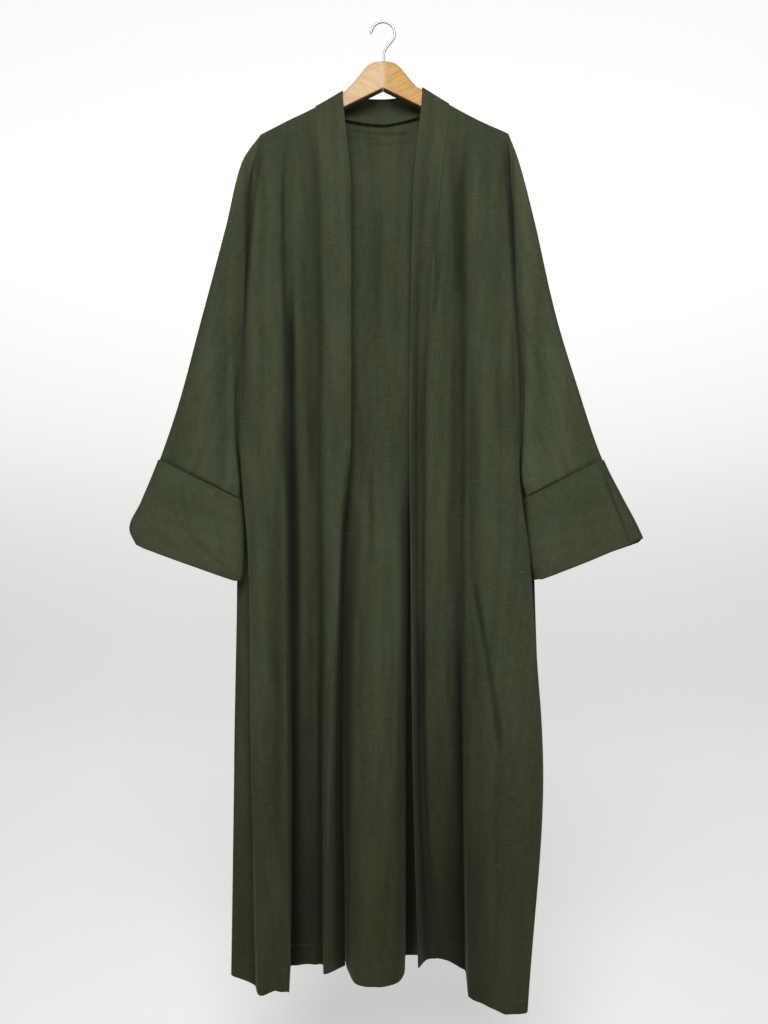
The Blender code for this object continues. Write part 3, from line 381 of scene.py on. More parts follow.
CUFF_BACK_CREASES = (
    Crease("left cuff, back fold", -330, 750, -268, 845, 5, 6.0, -2.0),
    Crease("right cuff, back fold", 336, 745, 280, 850, -5, 6.0, -2.0),
)

# Fine waves in the hang of the cloth, each with a slow swell down its length
RippleKind = namedtuple("RippleKind", "count height shortest longest slant seed")
RIPPLE_SWELLS = (160.0, 420.0)
RIPPLE_PHASES = (0.0, 6.28)
FRONT_RIPPLE = RippleKind(22, 0.85, 22.0, 95.0, 0.06, 21)
BACK_RIPPLE = RippleKind(22, 0.85, 24.0, 100.0, 0.06, 11)
CUFF_RIPPLE = RippleKind(16, 0.45, 20.0, 70.0, 0.8, 41)

# How far from an edge the creases reach their whole depth
SHOULDER_HOLD = 40.0
NECK_HOLD = 9.0
NECK_HOLD_HALF = 96.0
NECK_HOLD_FADE = 12.0
UNDERARM_HOLD = 60.0
SIDE_SEAM_HOLD = 14.0
SLEEVE_EDGE_HOLD = 0.1

# Strips of the CAD tables are divided this many times
PANEL_FINENESS = 4
FRONT_FINENESS = 5
SLEEVE_FINENESS = 8
CUFF_FINENESS = 12
CUFF_DIP_PLACES = (-0.16, -0.11, -0.08, -0.05, -0.03, 0.03, 0.06, 0.1)

# Rounding of the cloth's cut edges, as a share of its wall
RIM_SHARE = 0.32
RIM_SEGMENTS = 2
RIM_ANGLE = 60.0

# Band standing on the front's edge
BAND_STANDS = 0.55
BAND_LIFT = 0.9
BAND_LIFT_FADE = 34.0
BAND_GROOVE = 0.8
BAND_GROOVE_WIDTH = 7.0
BAND_GROOVE_FADE = 90.0
BAND_UNDERLAP = 2

# Collar's foot over the back panel's neck edge
COLLAR_FOOT_OUT = 3.0
COLLAR_FOOT_BELOW = 3.0
NECK_GROOVE = 2.8
NECK_GROOVE_WIDTH = 4.5
NECK_GROOVE_DROP = 2.5
NECK_GROOVE_FADE_STEPS = 6.0

# Cuff lying over the sleeve's end
CUFF_CLEARANCE = 0.5
CUFF_TOP_STANDS = 1.9
CUFF_EDGE_FADE = 0.14
CUFF_EDGE_ROLL = 3.2
CUFF_ROLL_ANGLES = (22.5, 45.0, 67.5, 90.0, 112.5, 135.0, 157.5, 180.0)
CUFF_INSIDE = 14.0
CUFF_INSIDE_STEPS = (0.35, 0.7, 1.0)
CUFF_ROLL_FADE = 0.06
CUFF_ROLL_LEAST = 0.6
CUFF_TOP_FADE = 2.4
SLEEVE_DIP = 3.6
SLEEVE_DIP_WIDTH = 6.0
SLEEVE_TUCKED_IN = 3.4
SLEEVE_TUCK_REACH = 12.0

# Painted shade on the collar: the tone of its darker copy of the linen against the panels'
COLLAR_SHADE = 0.96

# Painted shade in the hollows between the folds and painted light on the ridges: share for each
# millimetre of depth, compared with the cloth beside it over a wide and a narrow reach, and the most
# painted shade in hollows and painted light on ridges
HOLLOW_WIDE = 42.0
HOLLOW_NARROW = 11.0
SHARE_WIDE = 0.04
SHARE_NARROW = 0.13
HOLLOW_MOST = 0.85
RIDGE_MOST = 0.2
HOLLOW_PAINTED_SHADE = (0.1, 0.11, 0.09, 1.0)
RIDGE_PAINTED_LIGHT = (1.6, 1.6, 1.6, 1.0)

# Painted shade on cloth that turns away from the front: share where it stands square to the wall
SLOPE_REACH = 5.0
SLOPE_SHARE = 0.75
SLOPE_POWER = 1.3

# Places where the hollows are open to the light, and by which share that eases their painted shade
Ease = namedtuple("Ease", "name top_x top_drop foot_x foot_drop width share")
EASE_FADE = 0.2
FRONT_EASES = (
    Ease("left chest", -146, 60, -148, 500, 20.0, 0.55),
    Ease("left, beside the band", -108, 120, -108, 660, 10.0, 0.4),
    Ease("left side", -222, 440, -214, 1900, 18.0, 0.85),
    Ease("left skirt", -118, 820, -118, 1800, 20.0, 0.35),
    Ease("right side", 214, 430, 222, 900, 16.0, 0.85),
    Ease("right band", 60, 240, 58, 1040, 15.0, 0.7),
    Ease("right waist", 112, 380, 124, 1060, 12.0, 0.6),
    Ease("right skirt", 84, 960, 88, 1800, 30.0, 0.4),
)

# Painted shade on faces that lean towards a deep valley
FRONT_SHADES = (
    Ease("left flank", -166, 700, -160, 1330, 11.0, 0.5),
    Ease("right flank", 134, 860, 140, 1900, 15.0, 0.42),
)

# Painted narrow shadow in the armhole seam, down its length
SeamShade = namedtuple("SeamShade", "drop left right")
SEAM_SHADES = (
    SeamShade(180.0, 0.0, 0.0),
    SeamShade(235.0, 0.4, 0.75),
    SeamShade(300.0, 0.55, 0.85),
    SeamShade(380.0, 0.8, 0.6),
    SeamShade(450.0, 0.9, 0.42),
    SeamShade(540.0, 0.45, 0.3),
    SeamShade(660.0, 0.35, 0.3),
)
SEAM_SHADE_WIDTH = 4.6

# Sleeves and cuffs stand further out and catch more light than the body: a smaller share of
# painted shade in their hollows, and painted light that lightens them
RING_SHARE = 0.6
SleevePaintedLight = namedtuple("SleevePaintedLight", "left right")
SLEEVE_PAINTED_LIGHT = SleevePaintedLight(0.2, 0.5)
CUFF_PAINTED_LIGHT = SleevePaintedLight(0.45, 0.4)
SLEEVE_PAINTED_LIGHT_REACH = 75.0

# Half the width of the back panel that shows through the open front, and how it fades; there its painted
# shade is worked out as seen from the front
BACK_SEEN_FROM_FRONT = 62.0
BACK_SEEN_FADE = 16.0

# Darker, browner tone of the cloth towards the hem, between two heights in metres; the darkening is painted
# shade
HEM_BROWN_AND_SHADE_TOP = -0.86
HEM_BROWN_AND_SHADE_FOOT = -1.52
HEM_BROWN_AND_SHADE = (0.74, 0.66, 0.55, 1.0)

# Cloth: how strongly its dye shifts to a greener and to a browner olive, and the fibres' sheen
GREENER_SHARE = 0.2
GREENER_DYE = (0.88, 1.04, 1.1, 1.0)
BROWNER_SHARE = 0.22
BROWNER_DYE = (1.12, 1.0, 0.78, 1.0)
SHEEN_TINT = (0.62, 0.68, 0.5, 1.0)
YARN_RANGE = (0.49, 1.06)
YARN_RANGE_TURNED = (0.36, 0.94)
STREAKS = 0.4
STREAKS_TURNED = 0.15

# Hanger
ARM_DEPTH = 13.0
ARM_BELOW_CLOTH = 2.2
ARM_EDGE_ROUNDING = 3.0
ARM_END_ROUNDING = 7.0
ARM_END_INSET = 4.0
ARM_END_ANGLES = (60.0, 40.0, 20.0, 0.0, -20.0, -40.0, -60.0, -90.0)
ARM_STEPS = 10
ARM_JOINT_SHARP_HALF = 1.0
ARM_JOINT_GAP = 0.3
ARM_EDGE_SEGMENTS = 4
ARM_SHARP_ANGLE = 35.0
CROWN_STEPS = 24
CrownPoint = namedtuple("CrownPoint", "x drop")
CROWN = (
    CrownPoint(0.0, 62.0),
    CrownPoint(12.0, 63.2),
    CrownPoint(18.0, 65.2),
    CrownPoint(25.0, 69.8),
    CrownPoint(34.0, 80.2),
    CrownPoint(43.5, 92.0),
    CrownPoint(53.0, 102.4),
)
VEE_TOP = 106.3
VEE_AT_NECK = 137.0
NECK_HALF = 63.0
ARM_END_HEIGHT = 15.0

HOOK_WIRE = 3.5
HOOK_RADIUS = 18.5
HOOK_ARC_ANGLES = tuple(range(-24, 176, 6))
HOOK_ROUNDING = 4
HOOK_SHARP_ANGLE = 50.0
HookPoint = namedtuple("HookPoint", "x drop")
HOOK_STEM = (
    HookPoint(1.5, 63.5),
    HookPoint(1.5, 56.7),
    HookPoint(1.5, 49.5),
    HookPoint(1.8, 46.0),
    HookPoint(2.7, 43.0),
    HookPoint(4.6, 40.0),
    HookPoint(7.4, 36.4),
    HookPoint(10.5, 32.4),
    HookPoint(14.4, 27.8),
)
HOOK_TIP = HookPoint(-20.8, 15.3)

# Wood and wire: each half is cut from another place of the plank, its grain along the arm
GRAIN_TILT = 28.0
GRAIN_SHIFT = (0.31, 0.17, 0.23)
END_GRAIN = (0.56, 0.35, 0.23, 1.0)
UNDERSIDE_PAINTED_SHADE = (0.045, 0.022, 0.014, 1.0)
CHROME_DARK = (0.2, 0.2, 0.21, 1.0)
CHROME_LIGHT = (0.36, 0.36, 0.37, 1.0)

# Hem stitches
STITCH_LENGTH = 2.7
STITCH_PITCH = 3.7
STITCH_WIDTH = 0.5
STITCH_SIDES = 6
STITCH_RINGS = 5

# Camera and room
CAMERA_PLACE = (0.0016, -1.40, -0.771)
CAMERA_LENS = 31.2
CAMERA_SENSOR = 36.0
LAMP_SIZE = 1.3
LAMP_SPREAD = 110.0
LAMP_PLACE = (-0.15, -2.0, 0.75)
LAMP_AIM = (0.0, 0.0, -0.6)
FLOOR_IN_FRONT = 4.5
FLOOR_HALF_WIDTH = 9.0
FLOOR_SWEEP = 1.4
FLOOR_AND_WALL_RUN = 12.0
FLOOR_STEPS = 40
WALL_GLOW_UP_TO = 1.2
ROOM_COLOR = (1.0, 0.995, 0.985, 1.0)


def smooth_step(value):
    """0 up to 0 and 1 from 1 on, with a smooth rise between."""
    value = np.clip(value, 0.0, 1.0)
    return value * value * (3.0 - 2.0 * value)


def smooth_through(knots, values, places):
    """A curve through the values that never swings past them; knots run down the first axis."""
    places = np.asarray(places, float)
    knots = np.asarray(knots, float)
    values = np.asarray(values, float)
    knots = knots.reshape(knots.shape[0], -1)
    values = values.reshape(values.shape[0], -1)
    if knots[0, 0] > knots[-1, 0]:
        knots = knots[::-1]
        values = values[::-1]
    flat = np.clip(places.ravel(), knots[0], knots[-1])
    count = flat.size
    knots = np.broadcast_to(knots, (len(knots), count))
    values = np.broadcast_to(values, (len(values), count))
    steps = np.maximum(1e-9, np.diff(knots, axis=0))
    slopes = np.diff(values, axis=0) / steps
    before = slopes[:-1]
    after = slopes[1:]
    total = before + after
    safe = np.where(np.abs(total) < 1e-12, 1.0, total)
    middle = np.where(before * after <= 0.0, 0.0, 2.0 * before * after / safe)
    tangents = np.concatenate((slopes[:1], middle, slopes[-1:]))
    index = np.clip((flat[None, :] > knots[1:-1]).sum(axis=0), 0, len(steps) - 1)
    column = np.arange(count)
    step = steps[index, column]
    t = (flat - knots[index, column]) / step
    start = (1.0 + 2.0 * t) * (1.0 - t) ** 2 * values[index, column]
    end = t * t * (3.0 - 2.0 * t) * values[index + 1, column]
    lean_in = t * (1.0 - t) ** 2 * step * tangents[index, column]
    lean_out = t * t * (t - 1.0) * step * tangents[index + 1, column]
    return (start + end + lean_in + lean_out).reshape(places.shape)


def read_table(rows, key, field, places):
    """One column of a table, read smoothly at places of the key column."""
    knots = [getattr(row, key) for row in rows]
    values = [getattr(row, field) for row in rows]
    return smooth_through(knots, values, places)


def point(x, out, drop):
    """Places in metres from x, out and drop in millimetres."""
    return np.stack(np.broadcast_arrays(x, -np.asarray(out), -np.asarray(drop)), axis=-1) * MM


def unit(vectors):
    """The vectors at length 1."""
    lengths = np.linalg.norm(vectors, axis=-1, keepdims=True)
    return vectors / np.maximum(lengths, 1e-12)


def shoulder_drop(x):
    """How far the shoulder line lies below the hook."""
    x = np.asarray(x, float)
    left = read_table(LEFT_SHOULDER, "x", "drop", x)
    right = read_table(RIGHT_SHOULDER, "x", "drop", x)
    return np.where(x < 0.0, left, right)


def armhole_at(rows, layer, drop):
    """The armhole seam's x and out, closing to a rounded foot at the underarm."""
    x = read_table(rows, "drop", "x", drop)
    front = read_table(rows, "drop", "front", drop)
    back = read_table(rows, "drop", "back", drop)
    above = np.clip((UNDERARM - drop) / ARMHOLE_FOOT_RADIUS, 0.0, 1.0)
    half = 0.5 * (front - back) * np.sqrt(1.0 - (1.0 - above) ** 2)
    middle = 0.5 * (front + back)
    return x, middle + half if layer == "front" else middle - half


def line_at(line, foot, drop):
    """A fold line's x and out at the drops."""
    knots = (foot, CHEST, UNDERARM, TUCK, CUFF, KNEE, HEM)
    xs = [getattr(line, height + "_x") for height in HEIGHTS]
    outs = [getattr(line, height + "_out") for height in HEIGHTS]
    return smooth_through(knots, xs, drop), smooth_through(knots, outs, drop)


def top_of(x, layer):
    """Where a column starts: on the shoulder line, or for the back's middle on the neck seam."""
    x = np.asarray(x, float)
    outs = np.zeros_like(x)
    drops = shoulder_drop(x)
    if layer == "back":
        inside = (x > NECK_SEAM[0].x) & (x < NECK_SEAM[-1].x)
        outs = np.where(inside, read_table(NECK_SEAM, "x", "out", x), outs)
        drops = np.where(inside, read_table(NECK_SEAM, "x", "drop", x), drops)
    return outs, drops


def hem_extra(x):
    """How much lower than its drop the hem hangs."""
    return read_table(HEM_SAG, "x", "extra", x)


def column_places(lines, fineness):
    """Every column as a line index with a fraction, one for each strip's edge."""
    places = []
    for index, line in enumerate(lines[:-1]):
        cells = line.cells * fineness
        places += [index + step / cells for step in range(cells)]
    return np.array(places + [len(lines) - 1.0])


def across(xs, outs, places):
    """A smooth section through the fold lines' points, read at each point's own column."""
    reach_steps = np.maximum(0.01, np.hypot(np.diff(xs, axis=0), np.diff(outs, axis=0)))
    lengths = np.concatenate((np.zeros((1, xs.shape[1])), np.cumsum(reach_steps, axis=0)))
    index = np.minimum(places.astype(int), len(xs) - 2)
    column = np.arange(xs.shape[1])
    reach = lengths[index, column] + (places - index) * reach_steps[index, column]
    return smooth_through(lengths, xs, reach), smooth_through(lengths, outs, reach)


def row_bases():
    """Drops of the rows before they are fitted to the shoulder, from the roll down to the hem."""
    roll = [ROW_LEVEL_TOP + step.drop for step in ARM_ROLL]
    first = roll[-1]
    neck = np.linspace(first, NECK_ROWS_END, int((NECK_ROWS_END - first) / NECK_ROW_SPACING) + 1)[1:]
    above = np.linspace(NECK_ROWS_END, UNDERARM, int((UNDERARM - NECK_ROWS_END) / ROW_SPACING) + 1)[1:]
    line = HEM - HEM_BAND
    below = np.linspace(UNDERARM, HEM, int((HEM - UNDERARM) / ROW_SPACING) + 1)[1:]
    below = below[np.abs(below - line) > HEM_GROOVE_ROWS[-1] * HEM_GROOVE_HALF]
    groove = line + HEM_GROOVE_HALF * np.array(HEM_GROOVE_ROWS)
    below = np.sort(np.concatenate((below, groove)))
    return np.concatenate((roll, neck, above, below)), len(roll) + len(neck) + len(above) - 1


def panel_points(lines, layer, seam_readers, fineness):
    """Grid of middle points of a body panel, rows from the top edge to the hem."""
    places = column_places(lines, fineness)
    bases, underarm_row = row_bases()
    rolls = len(ARM_ROLL)
    feet = [float(top_of(line.top_x, layer)[1]) + ROLL_FOOT for line in lines]

    def section(height):
        xs = np.array([[getattr(line, height + "_x")] for line in lines], float)
        outs = np.array([[getattr(line, height + "_out")] for line in lines], float)
        return across(xs.repeat(len(places), axis=1), outs.repeat(len(places), axis=1), places)

    top_x, top_out = section("top")
    hem_x, _ = section("hem")
    start_out, start_drop = top_of(top_x, layer)

    row_grid, drop_shift = np.meshgrid(bases[rolls:], start_drop - ROW_LEVEL_TOP, indexing="ij")
    share = smooth_step((row_grid - ROW_LEVEL_TOP) / (ROW_LEVEL_DONE - ROW_LEVEL_TOP))
    drops = row_grid + drop_shift * (1.0 - share)
    flat = drops.ravel()
    xs = []
    outs = []
    for index, line in enumerate(lines):
        x, out = line_at(line, feet[index], flat)
        if index in seam_readers:
            seam_x, seam_out = armhole_at(seam_readers[index], layer, flat)
            above = flat < UNDERARM
            x = np.where(above, seam_x, x)
            out = np.where(above, seam_out, out)
        xs.append(x)
        outs.append(out)
    own_places = np.tile(places, len(row_grid))
    x, out = across(np.array(xs), np.array(outs), own_places)
    extra = hem_extra(hem_x)[None, :] * smooth_step((row_grid - KNEE) / (HEM - KNEE))
    lower = point(x.reshape(drops.shape), out.reshape(drops.shape), drops + extra)
    upper = np.array([
        point(top_x, start_out + (top_out - start_out) * step.depth_share, start_drop + step.drop)
        for step in ARM_ROLL
    ])
    return np.concatenate((upper, lower)), underarm_row


def neck_columns():
    """The back panel's columns that end on the neck seam."""
    places = list(column_places(BACK, PANEL_FINENESS))
    return places.index(float(NECK_FIRST_LINE)), places.index(float(NECK_LAST_LINE))


def collar_points(seam, band_left, band_right):
    """The stand collar, from one shoulder's band end round the back neck to the other's."""
    strips = band_left.shape[1]
    shares = np.linspace(0.0, 1.0, len(seam))
    edge = point(*(read_table(COLLAR_EDGE, "share", field, shares) for field in ("x", "out", "drop")))
    parts = np.linspace(0.0, 1.0, strips)[None, :, None]
    ends = np.minimum(shares, 1.0 - shares)
    foot = smooth_step(ends / COLLAR_FOOT_FADE)
    seam = seam + np.stack((0.0 * foot, -COLLAR_FOOT_OUT * foot, -COLLAR_FOOT_BELOW * foot), axis=1) * MM
    edge[:, 2] += BAND_LIFT * MM * (1.0 - foot)
    grid = seam[:, None, :] + (edge - seam)[:, None, :] * parts
    bulge = COLLAR_BULGE * MM * smooth_step(COLLAR_BULGE_FADE * ends)
    grid[:, :, 1] += bulge[:, None] * np.sin(math.pi * parts[:, :, 0])
    grid[0] = band_left[0]
    grid[-1] = band_right[0]
    return grid


def sleeve_places(fineness, rings):
    """Places of a sleeve's rings, closer together where the cuff starts."""
    extra = [CUFF_SEAM_RING + step for step in CUFF_DIP_PLACES]
    return np.unique(np.round(np.concatenate((column_places(rings, fineness), extra)), 5))


def ring_reach(rings, places):
    """How far down the sleeve's outer edge each place lies."""
    lengths = [0.0]
    for a, b in zip(rings, rings[1:]):
        lengths.append(lengths[-1] + math.dist((a.outer_x, a.outer_drop), (b.outer_x, b.outer_drop)))
    lengths = np.array(lengths)
    index = np.minimum(places.astype(int), len(rings) - 2)
    return lengths, lengths[index] + (places - index) * np.diff(lengths)[index]


def sleeve_points(rings, fold, front_seam, back_seam, places, thinner):
    """Grid of middle points of a sleeve, closed from outer edge to outer edge, and each point's share."""
    lengths, reach = ring_reach(rings, places)

    def read(field):
        return smooth_through(lengths, [getattr(ring, field) for ring in rings], reach)

    outer = np.stack((read("outer_x"), -read("outer_out"), -read("outer_drop")), axis=1)
    inner = np.stack((read("inner_x"), -read("inner_out"), -read("inner_drop")), axis=1)
    half = (read("half") - thinner)[:, None]
    lean = read("lean")[:, None]
    settle = smooth_step(places / ARMHOLE_FADE_RINGS)[:, None, None]
    spread = smooth_step(places / CUFF_SEAM_RING)[:, None]
    side = 1.0 if outer[0, 0] > 0.0 else -1.0
    rows = len(front_seam) - 1
    run = np.linalg.norm(np.diff(front_seam, axis=0), axis=1)
    seam_shares = np.concatenate(((0.0,), np.cumsum(run) / run.sum()))
    even = 0.5 - 0.5 * np.cos(math.pi * np.arange(rows + 1) / rows)
    straight = front_seam[0] + (front_seam[-1] - front_seam[0]) * seam_shares[:, None]
    share = seam_shares[None, :] + (even - seam_shares)[None, :] * spread
    layers = []
    for layer, seam in ((1.0, front_seam), (-1.0, back_seam)):
        middle = outer[:, None, :] + (inner - outer)[:, None, :] * share[:, :, None]
        depth = half * np.maximum(0.0, 4.0 * share * (1.0 - share)) ** SLEEVE_ROUNDING
        middle[:, :, 0] -= side * lean * layer * (depth / half) * (1.0 - share) ** SLEEVE_LEAN_FADE
        fold_run = smooth_step((-middle[:, :, 2] - fold.top_drop) / SLEEVE_FOLD_FADE)
        fold_run = fold_run * smooth_step((fold.foot_drop + middle[:, :, 2]) / SLEEVE_FOLD_FADE)
        trough = fold.depth * fold_run * np.exp(-((middle[:, :, 0] - fold.x) / fold.width) ** 2)
        middle[:, :, 1] -= layer * depth
        if layer > 0.0:
            middle[:, :, 1] += trough
        bend = seam - straight
        bend[:, 1] = 0.0
        grid = middle + bend[None, :, :] * (1.0 - settle)
        grid[:, :, 1] = seam[None, :, 1] + (middle[:, :, 1] - seam[None, :, 1]) * settle[:, :, 0]
        grid[0] = seam
        layers.append(grid)
    points = np.concatenate((layers[0], layers[1][:, -2::-1]), axis=1) * MM
    return points, np.concatenate((share, share[:, -2::-1]), axis=1)


def outward(points, sign, closed=False):
    """Unit normals of a grid, pointing away from the garment's hollow."""
    down = np.gradient(points, axis=0)
    if closed:
        ring = points[:, :-1]
        along = np.roll(ring, -1, axis=1) - np.roll(ring, 1, axis=1)
        along = np.concatenate((along, along[:, :1]), axis=1)
    else:
        along = np.gradient(points, axis=1)
    return unit(np.cross(down, along) * sign)


def crease_depth(x, drop, creases):
    """How far back the creases lie at each place, in millimetres."""
    depth = np.zeros_like(x)
    for crease in creases:
        run_x = crease.foot_x - crease.top_x
        run_drop = crease.foot_drop - crease.top_drop
        length = math.hypot(run_x, run_drop)
        share = ((x - crease.top_x) * run_x + (drop - crease.top_drop) * run_drop) / length ** 2
        inside = np.clip(share, 0.0, 1.0)
        bowed = crease.bow * 4.0 * inside * (1.0 - inside)
        aside = ((x - crease.top_x) * run_drop - (drop - crease.top_drop) * run_x) / length - bowed
        fade = smooth_step(share / CREASE_FADE) * smooth_step((1.0 - share) / CREASE_FADE)
        depth += crease.depth * fade * np.exp(-(aside / crease.width) ** 2)
    return depth


def ripple_depth(x, drop, kind):
    """Fine uneven waves, long down the cloth and short across it, in millimetres."""
    chance = random.Random(kind.seed)
    depth = np.zeros_like(x)
    for _ in range(kind.count):
        length = chance.uniform(kind.shortest, kind.longest)
        slant = chance.uniform(-kind.slant, kind.slant)
        slow = chance.uniform(*RIPPLE_SWELLS)
        wave = np.sin(2.0 * math.pi * (x + slant * drop) / length + chance.uniform(*RIPPLE_PHASES))
        swell = np.sin(2.0 * math.pi * drop / slow + chance.uniform(*RIPPLE_PHASES))
        depth += wave * (0.5 + 0.5 * swell) * length / kind.longest
    return depth * 2.0 * kind.height / math.sqrt(kind.count)


def hang(points, creases, kind, hold):
    """Lays creases and fine waves into a grid of points, as far as hold lets each point move."""
    x = points[..., 0] / MM
    drop = -points[..., 2] / MM
    moved = points.copy()
    moved[..., 1] += (crease_depth(x, drop, creases) + ripple_depth(x, drop, kind)) * hold * MM
    return moved


def panel_hold(points, side_columns, layer):
    """Lets a panel's points move, but not at its top edge, at its underarms or at its side seams."""
    x = points[..., 0] / MM
    drop = -points[..., 2] / MM
    top_x = np.broadcast_to(points[:1, :, 0] / MM, x.shape)
    top_drop = np.broadcast_to(-points[:1, :, 2] / MM, x.shape)
    reach = np.full_like(x, SHOULDER_HOLD)
    if layer == "back":
        neck = smooth_step((NECK_HOLD_HALF - np.abs(top_x)) / NECK_HOLD_FADE)
        reach += (NECK_HOLD - SHOULDER_HOLD) * neck
    hold = smooth_step((drop - top_drop) / reach)
    above = smooth_step((UNDERARM - drop) / UNDERARM_HOLD)
    for column in side_columns:
        aside = np.linalg.norm(points - points[:, column:][:, :1], axis=2) / MM
        near = smooth_step(aside / SIDE_SEAM_HOLD)
        hold = hold * (near + (1.0 - near) * above)
    return hold


def sleeve_hold(points, share, places):
    """Lets a sleeve's points move, but not at its two folded edges."""
    drop = -points[..., 2] / MM
    seam = smooth_step((UNDERARM - drop) / UNDERARM_HOLD)
    seam = seam * smooth_step((drop - drop[:, :1]) / SHOULDER_HOLD)
    edges = smooth_step(np.minimum(share, 1.0 - share) / SLEEVE_EDGE_HOLD)
    run = smooth_step(places)[:, None]
    return seam * (1.0 - run) + edges * run


def hang_sleeve(points, hold, front_creases, back_creases, front_kind, back_kind):
    """Creases of the front layer on the sleeve's front, those of the back layer on its back."""
    middle = points.shape[1] // 2
    front = hang(points[:, :middle], front_creases, front_kind, hold[:, :middle])
    back = hang(points[:, middle:], back_creases, back_kind, hold[:, middle:])
    moved = np.concatenate((front, back), axis=1)
    moved[:, -1] = moved[:, 0]
    return moved


def hollow_shade(points, facing, slope_share=SLOPE_SHARE):
    """Painted shade as a share: above 0 in hollows and on steep faces, below 0 painted light on ridges."""
    x = points[..., 0] / MM
    depth = points[..., 1] / MM
    steps = np.abs(np.gradient(x, axis=1)) + 0.05
    aside = np.abs(x[:, :, None] - x[:, None, :])
    total = np.zeros_like(x)
    for reach, share in ((HOLLOW_WIDE, SHARE_WIDE), (HOLLOW_NARROW, SHARE_NARROW)):
        weights = np.exp(-(aside / reach) ** 2) * steps[:, None, :]
        around = (weights * depth[:, None, :]).sum(axis=2) / weights.sum(axis=2)
        total += share * (depth - around)
    run = np.hypot(np.gradient(x, axis=1), np.gradient(depth, axis=1)) + 1e-6
    weights = np.exp(-(aside / SLOPE_REACH) ** 2) * run[:, None, :]
    slope = np.abs(np.gradient(depth, axis=1) / run)
    slope = (weights * slope[:, None, :]).sum(axis=2) / weights.sum(axis=2)
    total = total * facing + slope_share * slope ** SLOPE_POWER
    hollows = HOLLOW_MOST * np.tanh(np.maximum(total, 0.0) / HOLLOW_MOST)
    return hollows - RIDGE_MOST * np.tanh(np.maximum(-total, 0.0) / RIDGE_MOST)


def nearness(points, place):
    """How near each point lies to a place's line, times the place's share."""
    x = points[..., 0] / MM
    along = (-points[..., 2] / MM - place.top_drop) / (place.foot_drop - place.top_drop)
    middle = place.top_x + (place.foot_x - place.top_x) * along
    window = smooth_step(along / EASE_FADE) * smooth_step((1.0 - along) / EASE_FADE)
    return place.share * window * np.exp(-((x - middle) / place.width) ** 2)


def eased(points, shade):
    """The hollows' painted shade, weaker where they lie open to the light, with more painted shade on the
    leaning faces.
    """
    for place in FRONT_EASES:
        shade = np.where(shade > 0.0, shade * (1.0 - nearness(points, place)), shade)
    for place in FRONT_SHADES:
        shade = shade + nearness(points, place) * (1.0 - np.maximum(shade, 0.0))
    return np.minimum(shade, HOLLOW_MOST)


def with_seam_shade(shade, points, seam_distance, side):
    """The tone with the painted shadow of the narrow armhole seam laid over it."""
    strength = read_table(SEAM_SHADES, "drop", side, -points[..., 2] / MM)
    line = strength * np.exp(-(seam_distance / MM / SEAM_SHADE_WIDTH) ** 2)
    return shade + line * (1.0 - shade)


def ring_shade(points, painted_light):
    """Painted shade in a sleeve's or cuff's hollows, from the front on its front and from behind on its
    back, less painted light.
    """
    middle = points.shape[1] // 2
    front = hollow_shade(points[:, :middle], 1.0, 0.0)
    behind = hollow_shade(points[:, middle:], -1.0, 0.0)
    shade = RING_SHARE * np.concatenate((front, behind), axis=1)
    shade -= painted_light
    shade[:, -1] = shade[:, 0]
    return shade


def turn_hem(points, toward_hollow):
    """The turned hem: a stitched groove, and on the back panel, whose inside shows, the edge's step."""
    bases, _ = row_bases()
    line = HEM - HEM_BAND
    groove = HEM_GROOVE * np.exp(-((bases - line) / HEM_GROOVE_HALF) ** 2)
    if toward_hollow < 0.0:
        groove = groove + HEM_FOLD_STEP * smooth_step((bases - line) / HEM_GROOVE_HALF)
    moved = points.copy()
    moved[..., 1] += toward_hollow * groove[:, None] * MM
    return moved


def cut_places(points, rings):
    """Places on a sleeve's flat cut, in metres, with its length along the outer edge."""
    first, last = rings[0], rings[CUFF_SEAM_RING]
    run = unit(np.array((last.outer_x - first.outer_x, first.outer_drop - last.outer_drop), float))
    start = np.array((first.outer_x, -first.outer_drop)) * MM
    offset = points[..., (0, 2)] - start
    along = offset @ run
    aside = np.abs(offset @ np.array((-run[1], run[0])))
    middle = points.shape[1] // 2
    behind = np.arange(points.shape[1]) > middle
    aside = np.where(behind[None, :], 2.0 * aside.max() - aside, aside)
    return np.stack((aside, -along), axis=-1)


def flat_places(points, reference):
    """Places on the flat cut, in metres: how far from the reference column, and how far down it."""
    steps = np.linalg.norm(np.diff(points, axis=1), axis=2)
    reach = np.concatenate((np.zeros((len(points), 1)), np.cumsum(steps, axis=1)), axis=1)
    reach = reach - reach[:, reference:reference + 1]
    falls = np.linalg.norm(np.diff(points[:, reference], axis=0), axis=1)
    fall = np.concatenate(((0.0,), np.cumsum(falls)))
    return np.stack((reach, np.broadcast_to(-fall[:, None], reach.shape)), axis=-1)


def place_piece(piece, *nodes):
    """Puts a finished piece on the body and lets it stand for its solids."""
    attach(piece, "root")
    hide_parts(*nodes)
    return piece


def piece_from(bm, name, material, sharp_angle=None):
    """A smooth-shaded piece from a bmesh, which is freed; edges above the angle stay sharp."""
    mesh = bpy.data.meshes.new(name)
    bm.to_mesh(mesh)
    bm.free()
    mesh.shade_smooth()
    if sharp_angle is not None:
        mesh.set_sharp_from_angle(angle=math.radians(sharp_angle))
    mesh.materials.append(material)
    piece = bpy.data.objects.new(name, mesh)
    bpy.context.scene.collection.objects.link(piece)
    return piece


